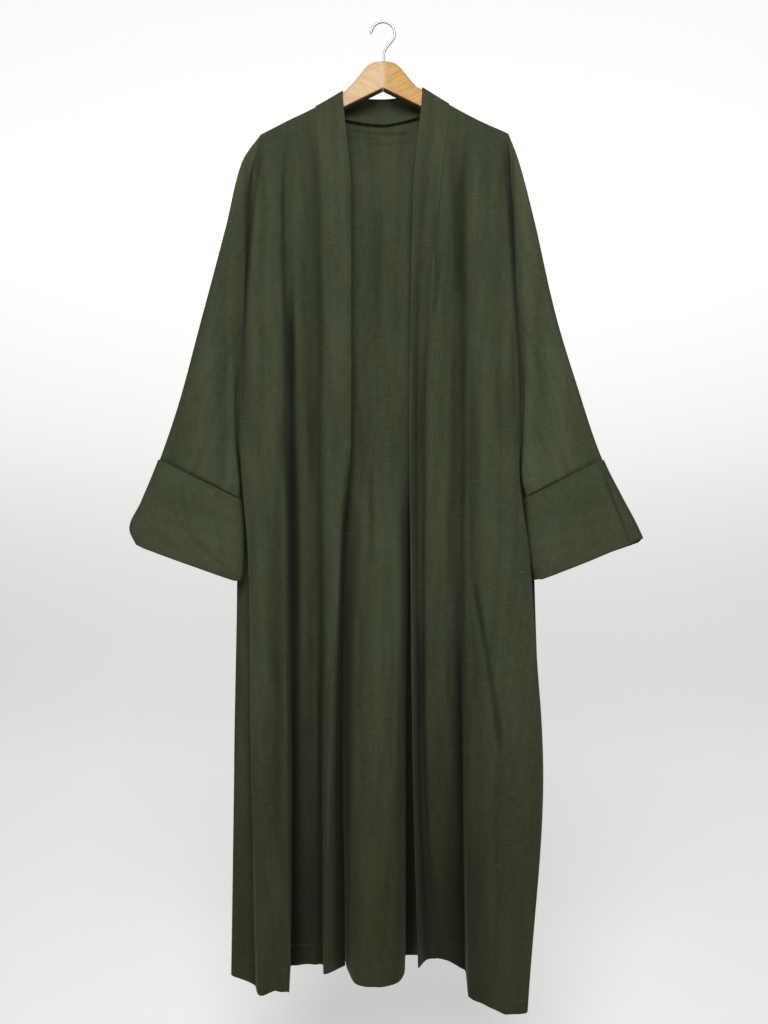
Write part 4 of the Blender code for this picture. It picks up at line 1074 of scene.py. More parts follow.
def cloth_sheet(name, points, places, hollows, wall, material, closed=False):
    """A sheet of cloth from a grid of points, with its flat places as the UV map, then given its wall."""
    rows, columns = points.shape[:2]
    bm = bmesh.new()
    bmesh.ops.create_grid(bm, x_segments=columns - 1, y_segments=rows - 1, size=1.0)
    uv_map = bm.loops.layers.uv.verify()
    hollow = bm.verts.layers.float.new("hollow")
    spots = {}
    for vert in bm.verts:
        column = round((vert.co.x + 1.0) * 0.5 * (columns - 1))
        row = round((1.0 - vert.co.y) * 0.5 * (rows - 1))
        spots[vert] = (row, column)
    for face in bm.faces:
        for loop in face.loops:
            loop[uv_map].uv = places[spots[loop.vert]]
    for vert, spot in spots.items():
        vert.co = points[spot]
        vert[hollow] = hollows[spot]
    if closed:
        first = {row: vert for vert, (row, column) in spots.items() if column == 0}
        last = {row: vert for vert, (row, column) in spots.items() if column == columns - 1}
        bmesh.ops.weld_verts(bm, targetmap={last[row]: first[row] for row in first})
    piece = piece_from(bm, name, material)
    solidify = piece.modifiers.new("wall", "SOLIDIFY")
    solidify.thickness = wall * MM
    solidify.offset = 0.0
    solidify.use_even_offset = False
    bevel = piece.modifiers.new("soft rim", "BEVEL")
    bevel.width = RIM_SHARE * wall * MM
    bevel.segments = RIM_SEGMENTS
    bevel.limit_method = "ANGLE"
    bevel.angle_limit = math.radians(RIM_ANGLE)
    return piece


def stitch_place(start, foot, normal):
    """Place and size of one stitch, as long as from start to foot and square to the cloth's normal."""
    along = foot - start
    side = along.cross(normal).normalized()
    normal = side.cross(along).normalized()
    shape = Matrix.Identity(4)
    columns = (side * 0.5 * STITCH_WIDTH * MM, normal * 0.5 * STITCH_WIDTH * MM, along * 0.5)
    for column, vector in enumerate(columns):
        for row in range(3):
            shape[row][column] = vector[row]
    shape.translation = (start + foot) * 0.5
    return shape


def hem_stitches(name, faces, material):
    """Short stitches along the hem line of each face, a face being its line of points and its normals."""
    bm = bmesh.new()
    for line, normals in faces:
        steps = np.linalg.norm(np.diff(line, axis=0), axis=1)
        reach = np.concatenate(((0.0,), np.cumsum(steps)))
        count = int(reach[-1] / (STITCH_PITCH * MM))
        for index in range(count):
            middle = (index + 0.5) * STITCH_PITCH * MM
            ends = middle + 0.5 * STITCH_LENGTH * MM * np.array((-1.0, 1.0))
            start, foot = (Vector([float(np.interp(end, reach, line[:, axis])) for axis in range(3)])
                           for end in ends)
            normal = Vector([float(np.interp(middle, reach, normals[:, axis])) for axis in range(3)])
            bmesh.ops.create_uvsphere(bm, u_segments=STITCH_SIDES, v_segments=STITCH_RINGS, radius=1.0,
                                      matrix=stitch_place(start, foot, normal))
    bmesh.ops.recalc_face_normals(bm, faces=bm.faces[:])
    return piece_from(bm, name, material)


class NodeBoard:
    """Short ways to add and join the nodes of one material."""

    def __init__(self, name):
        self.material = bpy.data.materials.new(name)
        self.material.use_nodes = True
        self.tree = self.material.node_tree
        self.shader = self.tree.nodes["Principled BSDF"]

    def add(self, kind, label, **settings):
        node = self.tree.nodes.new(kind)
        node.label = label
        for key, value in settings.items():
            setattr(node, key, value)
        return node

    def join(self, source, target):
        self.tree.links.new(source, target)

    def math(self, operation, first, second, label):
        node = self.add("ShaderNodeMath", label, operation=operation)
        for socket, value in zip(node.inputs, (first, second)):
            if isinstance(value, (int, float)):
                socket.default_value = value
            else:
                self.join(value, socket)
        return node.outputs[0]

    def own_place(self):
        return self.add("ShaderNodeTexCoord", "place").outputs["Object"]

    def axes(self, source, label):
        node = self.add("ShaderNodeSeparateXYZ", label)
        self.join(source, node.inputs[0])
        return node.outputs

    def mapping(self, source, label, **values):
        node = self.add("ShaderNodeMapping", label)
        for key, value in values.items():
            node.inputs[key].default_value = value
        self.join(source, node.inputs["Vector"])
        return node.outputs[0]

    def stretched_noise(self, source, scale, label, detail=2.0, roughness=0.5):
        noise = self.add("ShaderNodeTexNoise", label)
        noise.inputs["Scale"].default_value = 1.0
        noise.inputs["Detail"].default_value = detail
        noise.inputs["Roughness"].default_value = roughness
        self.join(self.mapping(source, label + " size", Scale=scale), noise.inputs["Vector"])
        return noise.outputs["Fac"]

    def bump(self, height, strength, distance, label):
        node = self.add("ShaderNodeBump", label)
        node.inputs["Strength"].default_value = strength
        node.inputs["Distance"].default_value = distance
        self.join(height, node.inputs["Height"])
        self.join(node.outputs[0], self.shader.inputs["Normal"])

    def spread(self, source, low, high, to_low, to_high, label):
        node = self.add("ShaderNodeMapRange", label, interpolation_type="SMOOTHSTEP")
        for name, value in (("From Min", low), ("From Max", high), ("To Min", to_low), ("To Max", to_high)):
            node.inputs[name].default_value = value
        self.join(source, node.inputs["Value"])
        return node.outputs[0]

    def mix(self, share, first, second, label, blend="MIX"):
        node = self.add("ShaderNodeMix", label, data_type="RGBA", blend_type=blend)
        sockets = (node.inputs[0], node.inputs[6], node.inputs[7])
        for socket, value in zip(sockets, (share, first, second)):
            if isinstance(value, (int, float, tuple)):
                socket.default_value = value
            else:
                self.join(value, socket)
        return node.outputs[2]

    def set(self, **values):
        for name, value in values.items():
            self.shader.inputs[name.replace("_", " ")].default_value = value


def opaque(color, share=1.0):
    """A colour at a share of its strength, with full alpha."""
    return tuple(share * channel for channel in color) + (1.0,)


def linen_cloth(name, settings, shade=1.0, turned=False):
    """Dark linen-look weave: fine uneven yarns both ways, a few short light slubs and soft dye clouds, with
    painted shade in hollows and towards the hem and painted light on ridges.
    """
    board = NodeBoard(name)
    uv = board.add("ShaderNodeUVMap", "flat cut")
    place = uv.outputs[0]
    if turned:
        place = board.mapping(place, "grain across", Rotation=(0.0, 0.0, math.radians(90.0)))
    warp = board.stretched_noise(place, (640.0, 48.0, 1.0), "warp yarns", 2.0)
    weft = board.stretched_noise(place, (60.0, 620.0, 1.0), "weft yarns", 2.0)
    streak = board.stretched_noise(place, (75.0, 7.0, 1.0), "long soft streaks", 2.0)
    cloud = board.stretched_noise(place, (11.0, 5.0, 1.0), "dye clouds", 2.0)
    hue = board.stretched_noise(place, (19.0, 9.0, 7.0), "dye shift", 1.0)
    weft_slub = board.stretched_noise(place, (40.0, 700.0, 1.0), "weft slubs", 1.0)
    warp_slub = board.stretched_noise(place, (720.0, 36.0, 1.0), "warp slubs", 1.0)
    weft_mark = board.spread(weft_slub, 0.67, 0.80, 0.0, 1.0, "weft slub marks")
    warp_mark = board.spread(warp_slub, 0.69, 0.82, 0.0, 0.7, "warp slub marks")
    marks = board.math("MAXIMUM", weft_mark, warp_mark, "slub marks")
    yarns = board.math("ADD", warp, weft, "both yarns")
    tone = board.math("ADD", board.math("MULTIPLY", yarns, 0.4, "yarn tone"),
                      board.math("MULTIPLY", streak, STREAKS_TURNED if turned else STREAKS, "streak tone"),
                      "thread tone")
    tone = board.math("ADD", tone, board.math("MULTIPLY", cloud, 0.35, "cloud tone"), "whole tone")
    yarn_range = YARN_RANGE_TURNED if turned else YARN_RANGE
    light = board.spread(tone, *yarn_range, 0.0, 1.0, "light and dark yarns")
    color = board.mix(light, opaque(settings.cloth_dark, shade), opaque(settings.cloth_light, shade),
                      "yarn colour")
    green = board.mix(GREENER_SHARE, color, GREENER_DYE, "greener dye", "MULTIPLY")
    brown = board.mix(BROWNER_SHARE, color, BROWNER_DYE, "browner dye", "MULTIPLY")
    hue = board.spread(hue, 0.36, 0.64, 0.0, 1.0, "dye shift range")
    color = board.mix(hue, green, brown, "dyed colour")
    color = board.mix(board.math("MULTIPLY", marks, settings.slub_strength, "slub strength"),
                      color, opaque(settings.slub, shade), "slub colour")
    # Painted shade darkens the cloth towards the hem, which also turns browner
    height = board.axes(board.own_place(), "height")[2]
    low = board.spread(height, HEM_BROWN_AND_SHADE_TOP, HEM_BROWN_AND_SHADE_FOOT, 0.0, 1.0, "towards the hem")
    color = board.mix(low, color, HEM_BROWN_AND_SHADE, "browner tone and painted shade at the hem", "MULTIPLY")
    # Painted shade in the hollows and painted light on the ridges, from each point's hollow value
    depth = board.add("ShaderNodeAttribute", "painted shade in hollows between the folds", attribute_name="hollow")
    hollow = board.spread(depth.outputs["Fac"], 0.0, 1.0, 0.0, 1.0, "hollows")
    ridge = board.spread(depth.outputs["Fac"], 0.0, -1.0, 0.0, 1.0, "ridges")
    for socket in (hollow, ridge):
        socket.node.interpolation_type = "LINEAR"
    color = board.mix(hollow, color, HOLLOW_PAINTED_SHADE, "less light in hollows", "MULTIPLY")
    color = board.mix(ridge, color, RIDGE_PAINTED_LIGHT, "lit ridges", "MULTIPLY")
    board.join(color, board.shader.inputs["Base Color"])
    pitch = 2.0 * math.pi / settings.thread_pitch
    threads = board.axes(board.mapping(place, "thread size", Scale=(pitch, pitch, 1.0)), "thread axes")
    over = board.math("SINE", threads[0], 0.0, "warp threads")
    under = board.math("SINE", threads[1], 0.0, "weft threads")
    weave = board.math("MULTIPLY", over, under, "plain weave")
    relief = board.math("ADD", board.math("MULTIPLY", weave, 0.12, "weave relief"),
                        board.math("MULTIPLY", yarns, 0.45, "yarn relief"), "thread relief")
    relief = board.math("ADD", relief, board.math("MULTIPLY", marks, 0.8, "slub relief"), "cloth relief")
    board.bump(relief, 0.3, 0.0003, "weave bump")
    board.join(board.spread(light, 0.0, 1.0, 0.95, 0.86, "yarn gloss"), board.shader.inputs["Roughness"])
    board.set(Sheen_Weight=settings.sheen, Sheen_Roughness=0.45, Sheen_Tint=SHEEN_TINT,
              Specular_IOR_Level=0.18)
    return board.material


def sewing_thread(settings):
    """Twisted thread, a little more lively than the cloth."""
    board = NodeBoard("sewing_thread")
    twist = board.stretched_noise(board.own_place(), (2600.0, 2600.0, 2600.0), "thread twist", 2.0)
    color = board.mix(twist, opaque(settings.cloth_dark, 0.8), opaque(settings.cloth_light, 1.5),
                      "thread colour")
    board.join(color, board.shader.inputs["Base Color"])
    board.set(Roughness=0.55, Sheen_Weight=0.1)
    return board.material


def lacquered_wood(name, pale, deep, cut, tilt):
    """Straight-grained hardwood along the arm, with painted shade on its underside, under a thin lacquer.
    """
    board = NodeBoard(name)
    own = board.own_place()
    place = board.mapping(own, "own grain", Location=tuple(cut * shift for shift in GRAIN_SHIFT),
                          Rotation=(0.0, math.radians(tilt), 0.0))
    grain = board.stretched_noise(place, (26.0, 130.0, 330.0), "grain lines", 3.0, 0.55)
    figure = board.stretched_noise(place, (12.0, 40.0, 60.0), "broad figure", 2.0)
    pores = board.stretched_noise(place, (130.0, 900.0, 1700.0), "pores", 1.0)
    lines = board.spread(grain, 0.3, 0.72, 0.0, 1.0, "grain contrast")
    tone = board.math("ADD", board.math("MULTIPLY", lines, 0.4, "grain share"),
                      board.math("MULTIPLY", figure, 0.7, "figure share"), "wood tone")
    color = board.mix(board.spread(tone, 0.15, 1.0, 0.0, 1.0, "tone range"), pale, deep, "wood colour")
    fine = board.spread(pores, 0.64, 0.74, 0.0, 0.22, "pore marks")
    color = board.mix(fine, color, (deep[0] * 0.6, deep[1] * 0.55, deep[2] * 0.5, 1.0), "pores in colour")
    aside = board.math("ABSOLUTE", board.axes(own, "across the joint")[0], 0.0, "from the joint")
    strip = board.spread(aside, 0.0040, 0.0062, 0.42, 0.0, "strip beside the joint")
    color = board.mix(strip, color, END_GRAIN, "pinkish end grain")
    # Painted shade on the faces that look down
    facing = board.add("ShaderNodeNewGeometry", "facing")
    upward = board.axes(facing.outputs["Normal"], "facing axes")[2]
    under = board.spread(upward, -0.12, -0.5, 0.0, 0.96, "underside")
    color = board.mix(under, color, UNDERSIDE_PAINTED_SHADE, "painted shade underneath")
    board.join(color, board.shader.inputs["Base Color"])
    board.bump(grain, 0.1, 0.0002, "grain bump")
    rough = board.spread(lines, 0.0, 1.0, 0.38, 0.5, "lacquer over grain")
    board.join(rough, board.shader.inputs["Roughness"])
    board.set(Coat_Weight=0.06, Coat_Roughness=0.3, Specular_IOR_Level=0.22)
    return board.material


def chromed_wire():
    """Bright plated wire with fine drawing marks."""
    board = NodeBoard("chromed_wire")
    drawn = board.stretched_noise(board.own_place(), (900.0, 900.0, 260.0), "drawing marks", 2.0)
    color = board.mix(drawn, CHROME_DARK, CHROME_LIGHT, "plating colour")
    board.join(color, board.shader.inputs["Base Color"])
    board.join(board.spread(drawn, 0.3, 0.7, 0.08, 0.2, "plating gloss"), board.shader.inputs["Roughness"])
    board.set(Metallic=1.0)
    return board.material


def plain_backdrop(settings):
    """Plain pale paint that glows, a painted light stronger towards the top."""
    board = NodeBoard("backdrop")
    place = board.own_place()
    grit = board.stretched_noise(place, (40.0, 40.0, 40.0), "paint texture", 3.0)
    color = board.mix(grit, opaque(settings.backdrop, 0.985), opaque(settings.backdrop), "paint colour")
    board.join(color, board.shader.inputs["Base Color"])
    # The paint glows in its own colour, stronger higher up: painted light on floor and wall
    board.join(color, board.shader.inputs["Emission Color"])
    glow = board.spread(board.axes(place, "height")[2], -settings.floor_drop, WALL_GLOW_UP_TO,
                        settings.glow_low, settings.glow_high, "painted glow on the wall")
    board.join(glow, board.shader.inputs["Emission Strength"])
    board.set(Roughness=0.95, Specular_IOR_Level=0.1)
    return board.material


def hung_sleeve(rings, fold, seams, places, thinner):
    """A sleeve's points with their creases, their flat places, and how each may move and its share."""
    points, share = sleeve_points(rings, fold, *seams, places, thinner)
    flat = cut_places(points, rings)
    hold = sleeve_hold(points, share, places)
    points = hang_sleeve(points, hold, FRONT_CREASES, BACK_CREASES, FRONT_RIPPLE, BACK_RIPPLE)
    return points, flat, hold, share


class Garment:
    """Middle surfaces of all cloth pieces, worked out once and shared by the operators."""

    def __init__(self):
        back, self.underarm = panel_points(
            BACK, "back", {0: LEFT_ARMHOLE, len(BACK) - 1: RIGHT_ARMHOLE}, PANEL_FINENESS
        )
        first, last = neck_columns()
        self.back = hang(back, BACK_CREASES, BACK_RIPPLE, panel_hold(back, (0, -1), "back"))
        self.back = turn_hem(self.back, -1.0)
        self.collar_seam = self.back[0, first:last + 1].copy()
        fall = (back[0, :, 2] - back[:, :, 2]) / MM
        groove = NECK_GROOVE * np.exp(-((fall - NECK_GROOVE_DROP) / NECK_GROOVE_WIDTH) ** 2)
        groove = groove * smooth_step(fall)
        across_neck = np.zeros(back.shape[1])
        steps = np.arange(last - first + 1)
        across_neck[first:last + 1] = smooth_step(
            np.minimum(steps, steps[::-1]) / NECK_GROOVE_FADE_STEPS
        )
        self.back[..., 1] += groove * across_neck[None, :] * MM
        self.back_out = outward(self.back, -1.0)
        self.fronts = {}
        self.bands = {}
        self.sleeves = {}
        self.cuffs = {}
        sides = (
            ("left", 1.0, LEFT_FRONT, LEFT_BAND, LEFT_ARMHOLE, LEFT_SLEEVE, LEFT_SLEEVE_FOLD, 0),
            ("right", -1.0, RIGHT_FRONT, RIGHT_BAND, RIGHT_ARMHOLE, RIGHT_SLEEVE, RIGHT_SLEEVE_FOLD, -1),
        )
        for side, sign, front_lines, band_lines, armhole, rings, fold, back_column in sides:
            lines = front_lines[:-1] + band_lines
            plain, _ = panel_points(lines, "front", {0: armhole}, FRONT_FINENESS)
            split = list(column_places(lines, FRONT_FINENESS)).index(float(len(front_lines) - 1))
            self.body_front(side, sign, plain, split)
            foot = self.underarm + 1
            seams = (plain[:foot, 0] / MM, back[:foot, back_column] / MM)
            self.sleeve_and_cuff(side, sign, rings, fold, seams)

    def body_front(self, side, sign, plain, split):
        """The front panel with its edge under the band, and the band standing on it."""
        whole = hang(plain, FRONT_CREASES, FRONT_RIPPLE, panel_hold(plain, (0,), "front"))
        whole = turn_hem(whole, 1.0)
        hollows = eased(whole, hollow_shade(whole, 1.0))
        from_side = np.linalg.norm(whole - whole[:, :1], axis=2)
        above = (np.arange(len(whole)) <= self.underarm)[:, None]
        hollows = np.where(above, with_seam_shade(hollows, whole, from_side, side), hollows)
        fall = (plain[0, :, 2] - plain[:, :, 2]) / MM
        band = whole[:, split:].copy()
        band[..., 1] -= BAND_STANDS * MM
        band[..., 2] += BAND_LIFT * MM * (1.0 - smooth_step(fall[:, split:] / BAND_LIFT_FADE))
        front = whole[:, :split + 1 + BAND_UNDERLAP].copy()
        aside = np.linalg.norm(whole[:, :front.shape[1]] - whole[:, split:split + 1], axis=2) / MM
        groove = BAND_GROOVE * np.exp(-(aside / BAND_GROOVE_WIDTH) ** 2)
        front[..., 1] += groove * smooth_step(fall[:, :front.shape[1]] / BAND_GROOVE_FADE) * MM
        self.fronts[side] = (front, outward(front, sign), hollows[:, :front.shape[1]])
        self.bands[side] = (band, hollows[:, split:])

    def sleeve_and_cuff(self, side, sign, rings, fold, seams):
        """The sleeve, dipping just above the cuff and tucked in under it, and the cuff over its end."""
        places = sleeve_places(SLEEVE_FINENESS, rings)
        _, reach = ring_reach(rings, places)
        seam_reach = ring_reach(rings, np.array((float(CUFF_SEAM_RING),)))[1][0]
        dip = SLEEVE_DIP * np.exp(-((reach - seam_reach) / SLEEVE_DIP_WIDTH) ** 2)
        tucked = SLEEVE_TUCKED_IN * smooth_step((reach - seam_reach) / SLEEVE_TUCK_REACH + 0.5)
        self.sleeves[side] = hung_sleeve(rings, fold, seams, places, np.maximum(dip, tucked))[:2]

        places = sleeve_places(CUFF_FINENESS, rings)
        points, flat, hold, share = hung_sleeve(rings, fold, seams, places, np.zeros(len(places)))
        start = int(np.searchsorted(places, CUFF_SEAM_RING))
        normals = outward(points, sign, closed=True)[start:]
        self.cuffs[side] = (points[start:], normals, flat[start:], hold[start:], share[start:])


garment = {}


def shapes():
    """The shared middle surfaces."""
    if "made" not in garment:
        garment["made"] = Garment()
    return garment["made"]


def cloth_material(turned=False, shade=1.0):
    """The linen material, made once for each grain direction and each painted shade."""
    name = "linen_across" if turned else "linen"
    if shade != 1.0:
        name += "_shaded"
    found = bpy.data.materials.get(name)
    return found or linen_cloth(name, bpy.context.scene.kimono_cloth, shade, turned)


class KimonoClothSettings(bpy.types.PropertyGroup):
    """Cloth thickness and colours."""

    panel_wall: bpy.props.FloatProperty(
        name="Panel Cloth", description="Thickness of the panels' cloth in millimetres",
        default=1.0, min=0.3, max=3.0,
    )
    band_wall: bpy.props.FloatProperty(
        name="Band Cloth", description="Thickness of the folded band in millimetres",
        default=2.0, min=0.6, max=4.0,
    )
    cuff_wall: bpy.props.FloatProperty(
        name="Cuff Cloth", description="Thickness of the turned-back cuffs in millimetres",
        default=1.8, min=0.6, max=4.0,
    )
    cloth_dark: bpy.props.FloatVectorProperty(
        name="Dark Yarn", description="Colour of the darker yarns", subtype="COLOR",
        default=(0.025, 0.031, 0.0145), min=0.0, max=1.0,
    )
    cloth_light: bpy.props.FloatVectorProperty(
        name="Light Yarn", description="Colour of the lighter yarns", subtype="COLOR",
        default=(0.047, 0.055, 0.030), min=0.0, max=1.0,
    )
    slub: bpy.props.FloatVectorProperty(
        name="Slub", description="Colour of the thick slub threads", subtype="COLOR",
        default=(0.086, 0.095, 0.060), min=0.0, max=1.0,
    )
    slub_strength: bpy.props.FloatProperty(
        name="Slub Strength", description="How clearly the slub threads show",
        default=0.7, min=0.0, max=1.0, subtype="FACTOR",
    )
    sheen: bpy.props.FloatProperty(
        name="Nap Sheen", description="Soft shine of the fibres at a glancing angle",
        default=0.06, min=0.0, max=1.0, subtype="FACTOR",
    )
    thread_pitch: bpy.props.FloatProperty(
        name="Thread Pitch", description="Distance between neighbouring threads",
        default=0.0011, min=0.0003, max=0.003, unit="LENGTH", precision=5,
    )


class KimonoHangerSettings(bpy.types.PropertyGroup):
    """Colours of the hanger's two halves."""

    light_pale: bpy.props.FloatVectorProperty(
        name="Light Half, Pale", description="Pale tone of the light half", subtype="COLOR",
        default=(0.56, 0.39, 0.20), min=0.0, max=1.0,
    )
    light_deep: bpy.props.FloatVectorProperty(
        name="Light Half, Deep", description="Deep tone of the light half", subtype="COLOR",
        default=(0.46, 0.285, 0.125), min=0.0, max=1.0,
    )
    warm_pale: bpy.props.FloatVectorProperty(
        name="Warm Half, Pale", description="Pale tone of the warm half", subtype="COLOR",
        default=(0.49, 0.27, 0.055), min=0.0, max=1.0,
    )
    warm_deep: bpy.props.FloatVectorProperty(
        name="Warm Half, Deep", description="Deep tone of the warm half", subtype="COLOR",
        default=(0.36, 0.175, 0.022), min=0.0, max=1.0,
    )


class KimonoStageSettings(bpy.types.PropertyGroup):
    """Room, lights and camera."""

    floor_drop: bpy.props.FloatProperty(
        name="Floor Drop", description="How far the floor lies below the hook",
        default=1.78, min=1.5, max=3.0, unit="LENGTH",
    )
    wall_distance: bpy.props.FloatProperty(
        name="Wall Distance", description="How far the wall stands behind the garment",
        default=3.7, min=2.5, max=8.0, unit="LENGTH",
    )
    backdrop: bpy.props.FloatVectorProperty(
        name="Backdrop", description="Colour of the floor and wall", subtype="COLOR",
        default=(0.86, 0.855, 0.85), min=0.0, max=1.0,
    )
    room_light: bpy.props.FloatProperty(
        name="Room Light", description="Strength of the even light from all around",
        default=0.20, min=0.0, max=5.0,
    )
    glow_low: bpy.props.FloatProperty(
        name="Low Wall Glow", description="Strength of the backdrop's painted glow on the floor",
        default=0.36, min=0.0, max=5.0,
    )
    glow_high: bpy.props.FloatProperty(
        name="High Wall Glow", description="Strength of the backdrop's painted glow high on the wall",
        default=0.81, min=0.0, max=5.0,
    )
    key_light: bpy.props.FloatProperty(
        name="Key Light", description="Power of the large lamp above the camera",
        default=23.2, min=0.0, max=1000.0, unit="POWER",
    )


class KIMONO_OT_panels(bpy.types.Operator):
    """Back panel and the two front panels, with their hem stitches"""

    bl_idname = "kimono.panels"
    bl_label = "Body Panels"

    def execute(self, context):
        cloth = context.scene.kimono_cloth
        made = shapes()
        thread = sewing_thread(cloth)
        bases, _ = row_bases()
        hem_row = int(np.argmin(np.abs(bases - (HEM - HEM_BAND))))
        face_out = 0.5 * cloth.panel_wall * MM

        def stitch_line(points, normals, inside=False):
            facing = -normals[hem_row] if inside else normals[hem_row]
            return points[hem_row] + facing * face_out, facing

        back = made.back
        # Painted shade on the back panel, as seen from the front where it shows and from behind elsewhere
        seen = smooth_step((BACK_SEEN_FROM_FRONT - np.abs(back[..., 0] / MM)) / BACK_SEEN_FADE)
        piece = cloth_sheet("back_panel", back, flat_places(back, back.shape[1] // 2),
                            hollow_shade(back, 2.0 * seen - 1.0), cloth.panel_wall, cloth_material())
        place_piece(piece, "back")
        stitches = hem_stitches("hem_stitches_back", (stitch_line(back, made.back_out),
                                                      stitch_line(back, made.back_out, True)), thread)
        place_piece(stitches)
        for side, cut in (("left", (0.235, 1.38)), ("right", (0.255, 1.38))):
            points, normals, hollows = made.fronts[side]
            places = flat_places(points, points.shape[1] - 1)
            piece = cloth_sheet("front_panel_" + side, points, places, hollows, cloth.panel_wall,
                                cloth_material())
            place_piece(piece, "front_" + side)
            stitches = hem_stitches("hem_stitches_" + side, (stitch_line(points, normals),), thread)
            place_piece(stitches)
        return {"FINISHED"}


class KIMONO_OT_sleeves(bpy.types.Operator):
    """The two wide sleeves, down to where the cuffs hide them"""

    bl_idname = "kimono.sleeves"
    bl_label = "Sleeves"

    def execute(self, context):
        cloth = context.scene.kimono_cloth
        made = shapes()
        for side in ("left", "right"):
            points, flat = made.sleeves[side]
            from_seam = np.linalg.norm(points - points[:1], axis=2)
            # Painted light that grows with the distance from the armhole seam, then the seam's painted
            # shadow
            painted_light = getattr(SLEEVE_PAINTED_LIGHT, side) * smooth_step(from_seam / MM / SLEEVE_PAINTED_LIGHT_REACH)
            shade = with_seam_shade(ring_shade(points, painted_light), points, from_seam, side)
            piece = cloth_sheet("sleeve_cloth_" + side, points, flat, shade, cloth.panel_wall,
                                cloth_material(), closed=True)
            place_piece(piece, "sleeve_" + side)
        return {"FINISHED"}


def rolled_edge(points, normals, share):
    """Rows that roll the cuff's edge in at the hand and then run a little way up inside it."""
    down = unit(points[-1] - points[-2])
    inward = -normals[-1]
    from_fold = np.minimum(share[-1], 1.0 - share[-1])
    radius = CUFF_EDGE_ROLL * smooth_step(from_fold / CUFF_ROLL_FADE)
    radius = np.maximum(radius, CUFF_ROLL_LEAST)[:, None] * MM
    rows = []
    for angle in CUFF_ROLL_ANGLES:
        turn = math.radians(angle)
        rows.append(points[-1] + (down * math.sin(turn) + inward * (1.0 - math.cos(turn))) * radius)
    last = rows[-1]
    rows += [last - down * CUFF_INSIDE * MM * step for step in CUFF_INSIDE_STEPS]
    return np.array(rows)


class KIMONO_OT_cuffs(bpy.types.Operator):
    """The wide cuffs turned back over the sleeves' ends, with their edges rolled in at the hand"""

    bl_idname = "kimono.cuffs"
    bl_label = "Cuffs"

    def execute(self, context):
        cloth = context.scene.kimono_cloth
        made = shapes()
        for side in ("left", "right"):
            points, normals, flat, hold, share = made.cuffs[side]
            rows = np.arange(len(points)) / (len(points) - 1.0)
            stands = 0.5 * cloth.panel_wall + CUFF_CLEARANCE + 0.5 * cloth.cuff_wall
            edges = smooth_step(np.minimum(share, 1.0 - share) / CUFF_EDGE_FADE)
            top = CUFF_TOP_STANDS * (1.0 - smooth_step(CUFF_TOP_FADE * rows))
            points = points + normals * ((stands + top[:, None] * edges) * MM)[:, :, None]
            points = hang_sleeve(points, hold, CUFF_FRONT_CREASES, CUFF_BACK_CREASES,
                                 CUFF_RIPPLE, CUFF_RIPPLE)
            roll = rolled_edge(points, normals, share)
            points = np.concatenate((points, roll))
            points[:, -1] = points[:, 0]
            run = np.linalg.norm(np.diff(points[len(flat) - 1:], axis=0), axis=2).cumsum(axis=0)
            below = np.repeat(flat[-1:], len(roll), axis=0)
            below[..., 1] -= run
            flat = np.concatenate((flat, below))
            # Painted shade in the cuff's hollows, less its painted light
            shade = ring_shade(points, getattr(CUFF_PAINTED_LIGHT, side))
            piece = cloth_sheet("cuff_cloth_" + side, points, flat, shade, cloth.cuff_wall,
                                cloth_material(turned=True), closed=True)
            place_piece(piece, "cuff_" + side)
        return {"FINISHED"}


class KIMONO_OT_bands(bpy.types.Operator):
    """The folded band down both fronts and round the back neck"""

    bl_idname = "kimono.bands"
    bl_label = "Band and Collar"

    def execute(self, context):
        cloth = context.scene.kimono_cloth
        made = shapes()
        for side in ("left", "right"):
            points, hollows = made.bands[side]
            piece = cloth_sheet("band_cloth_" + side, points, flat_places(points, 0), hollows,
                                cloth.band_wall, cloth_material())
            place_piece(piece, "band_" + side)
        collar = collar_points(made.collar_seam, made.bands["left"][0], made.bands["right"][0])
        piece = cloth_sheet("collar_cloth", collar, flat_places(collar, 0), np.zeros(collar.shape[:2]),
                            cloth.band_wall, cloth_material(turned=True, shade=COLLAR_SHADE))
        place_piece(piece, "collar_back")
        return {"FINISHED"}


def crown_outline(side):
    """The hanger's upper edge from the middle to where the straight arm starts."""
    outline = []
    for step in range(CROWN_STEPS + 1):
        x = CROWN[-1].x * step / CROWN_STEPS
        outline.append((x * side, float(read_table(CROWN, "x", "drop", x))))
    return outline


def arm_outline(side):
    """Outline of one half of the hanger, as x and drop, from the crown round the arm's end."""
    rows = LEFT_SHOULDER if side < 0.0 else RIGHT_SHOULDER
    end = max(abs(row.x) for row in rows) - ARM_END_INSET
    outline = crown_outline(side)
    last_straight = end - ARM_END_ROUNDING
    for step in range(ARM_STEPS + 1):
        x = (NECK_HALF + (last_straight - NECK_HALF) * step / ARM_STEPS) * side
        outline.append((x, float(shoulder_drop(x)) + ARM_BELOW_CLOTH))
    centre_drop = outline[-1][1] + 0.5 * ARM_END_HEIGHT
    for angle in ARM_END_ANGLES:
        x = last_straight + ARM_END_ROUNDING * math.cos(math.radians(angle))
        outline.append((x * side, centre_drop - 0.5 * ARM_END_HEIGHT * math.sin(math.radians(angle))))
    outline.append((NECK_HALF * side, VEE_AT_NECK))
    outline.append((0.0, VEE_TOP))
    return outline


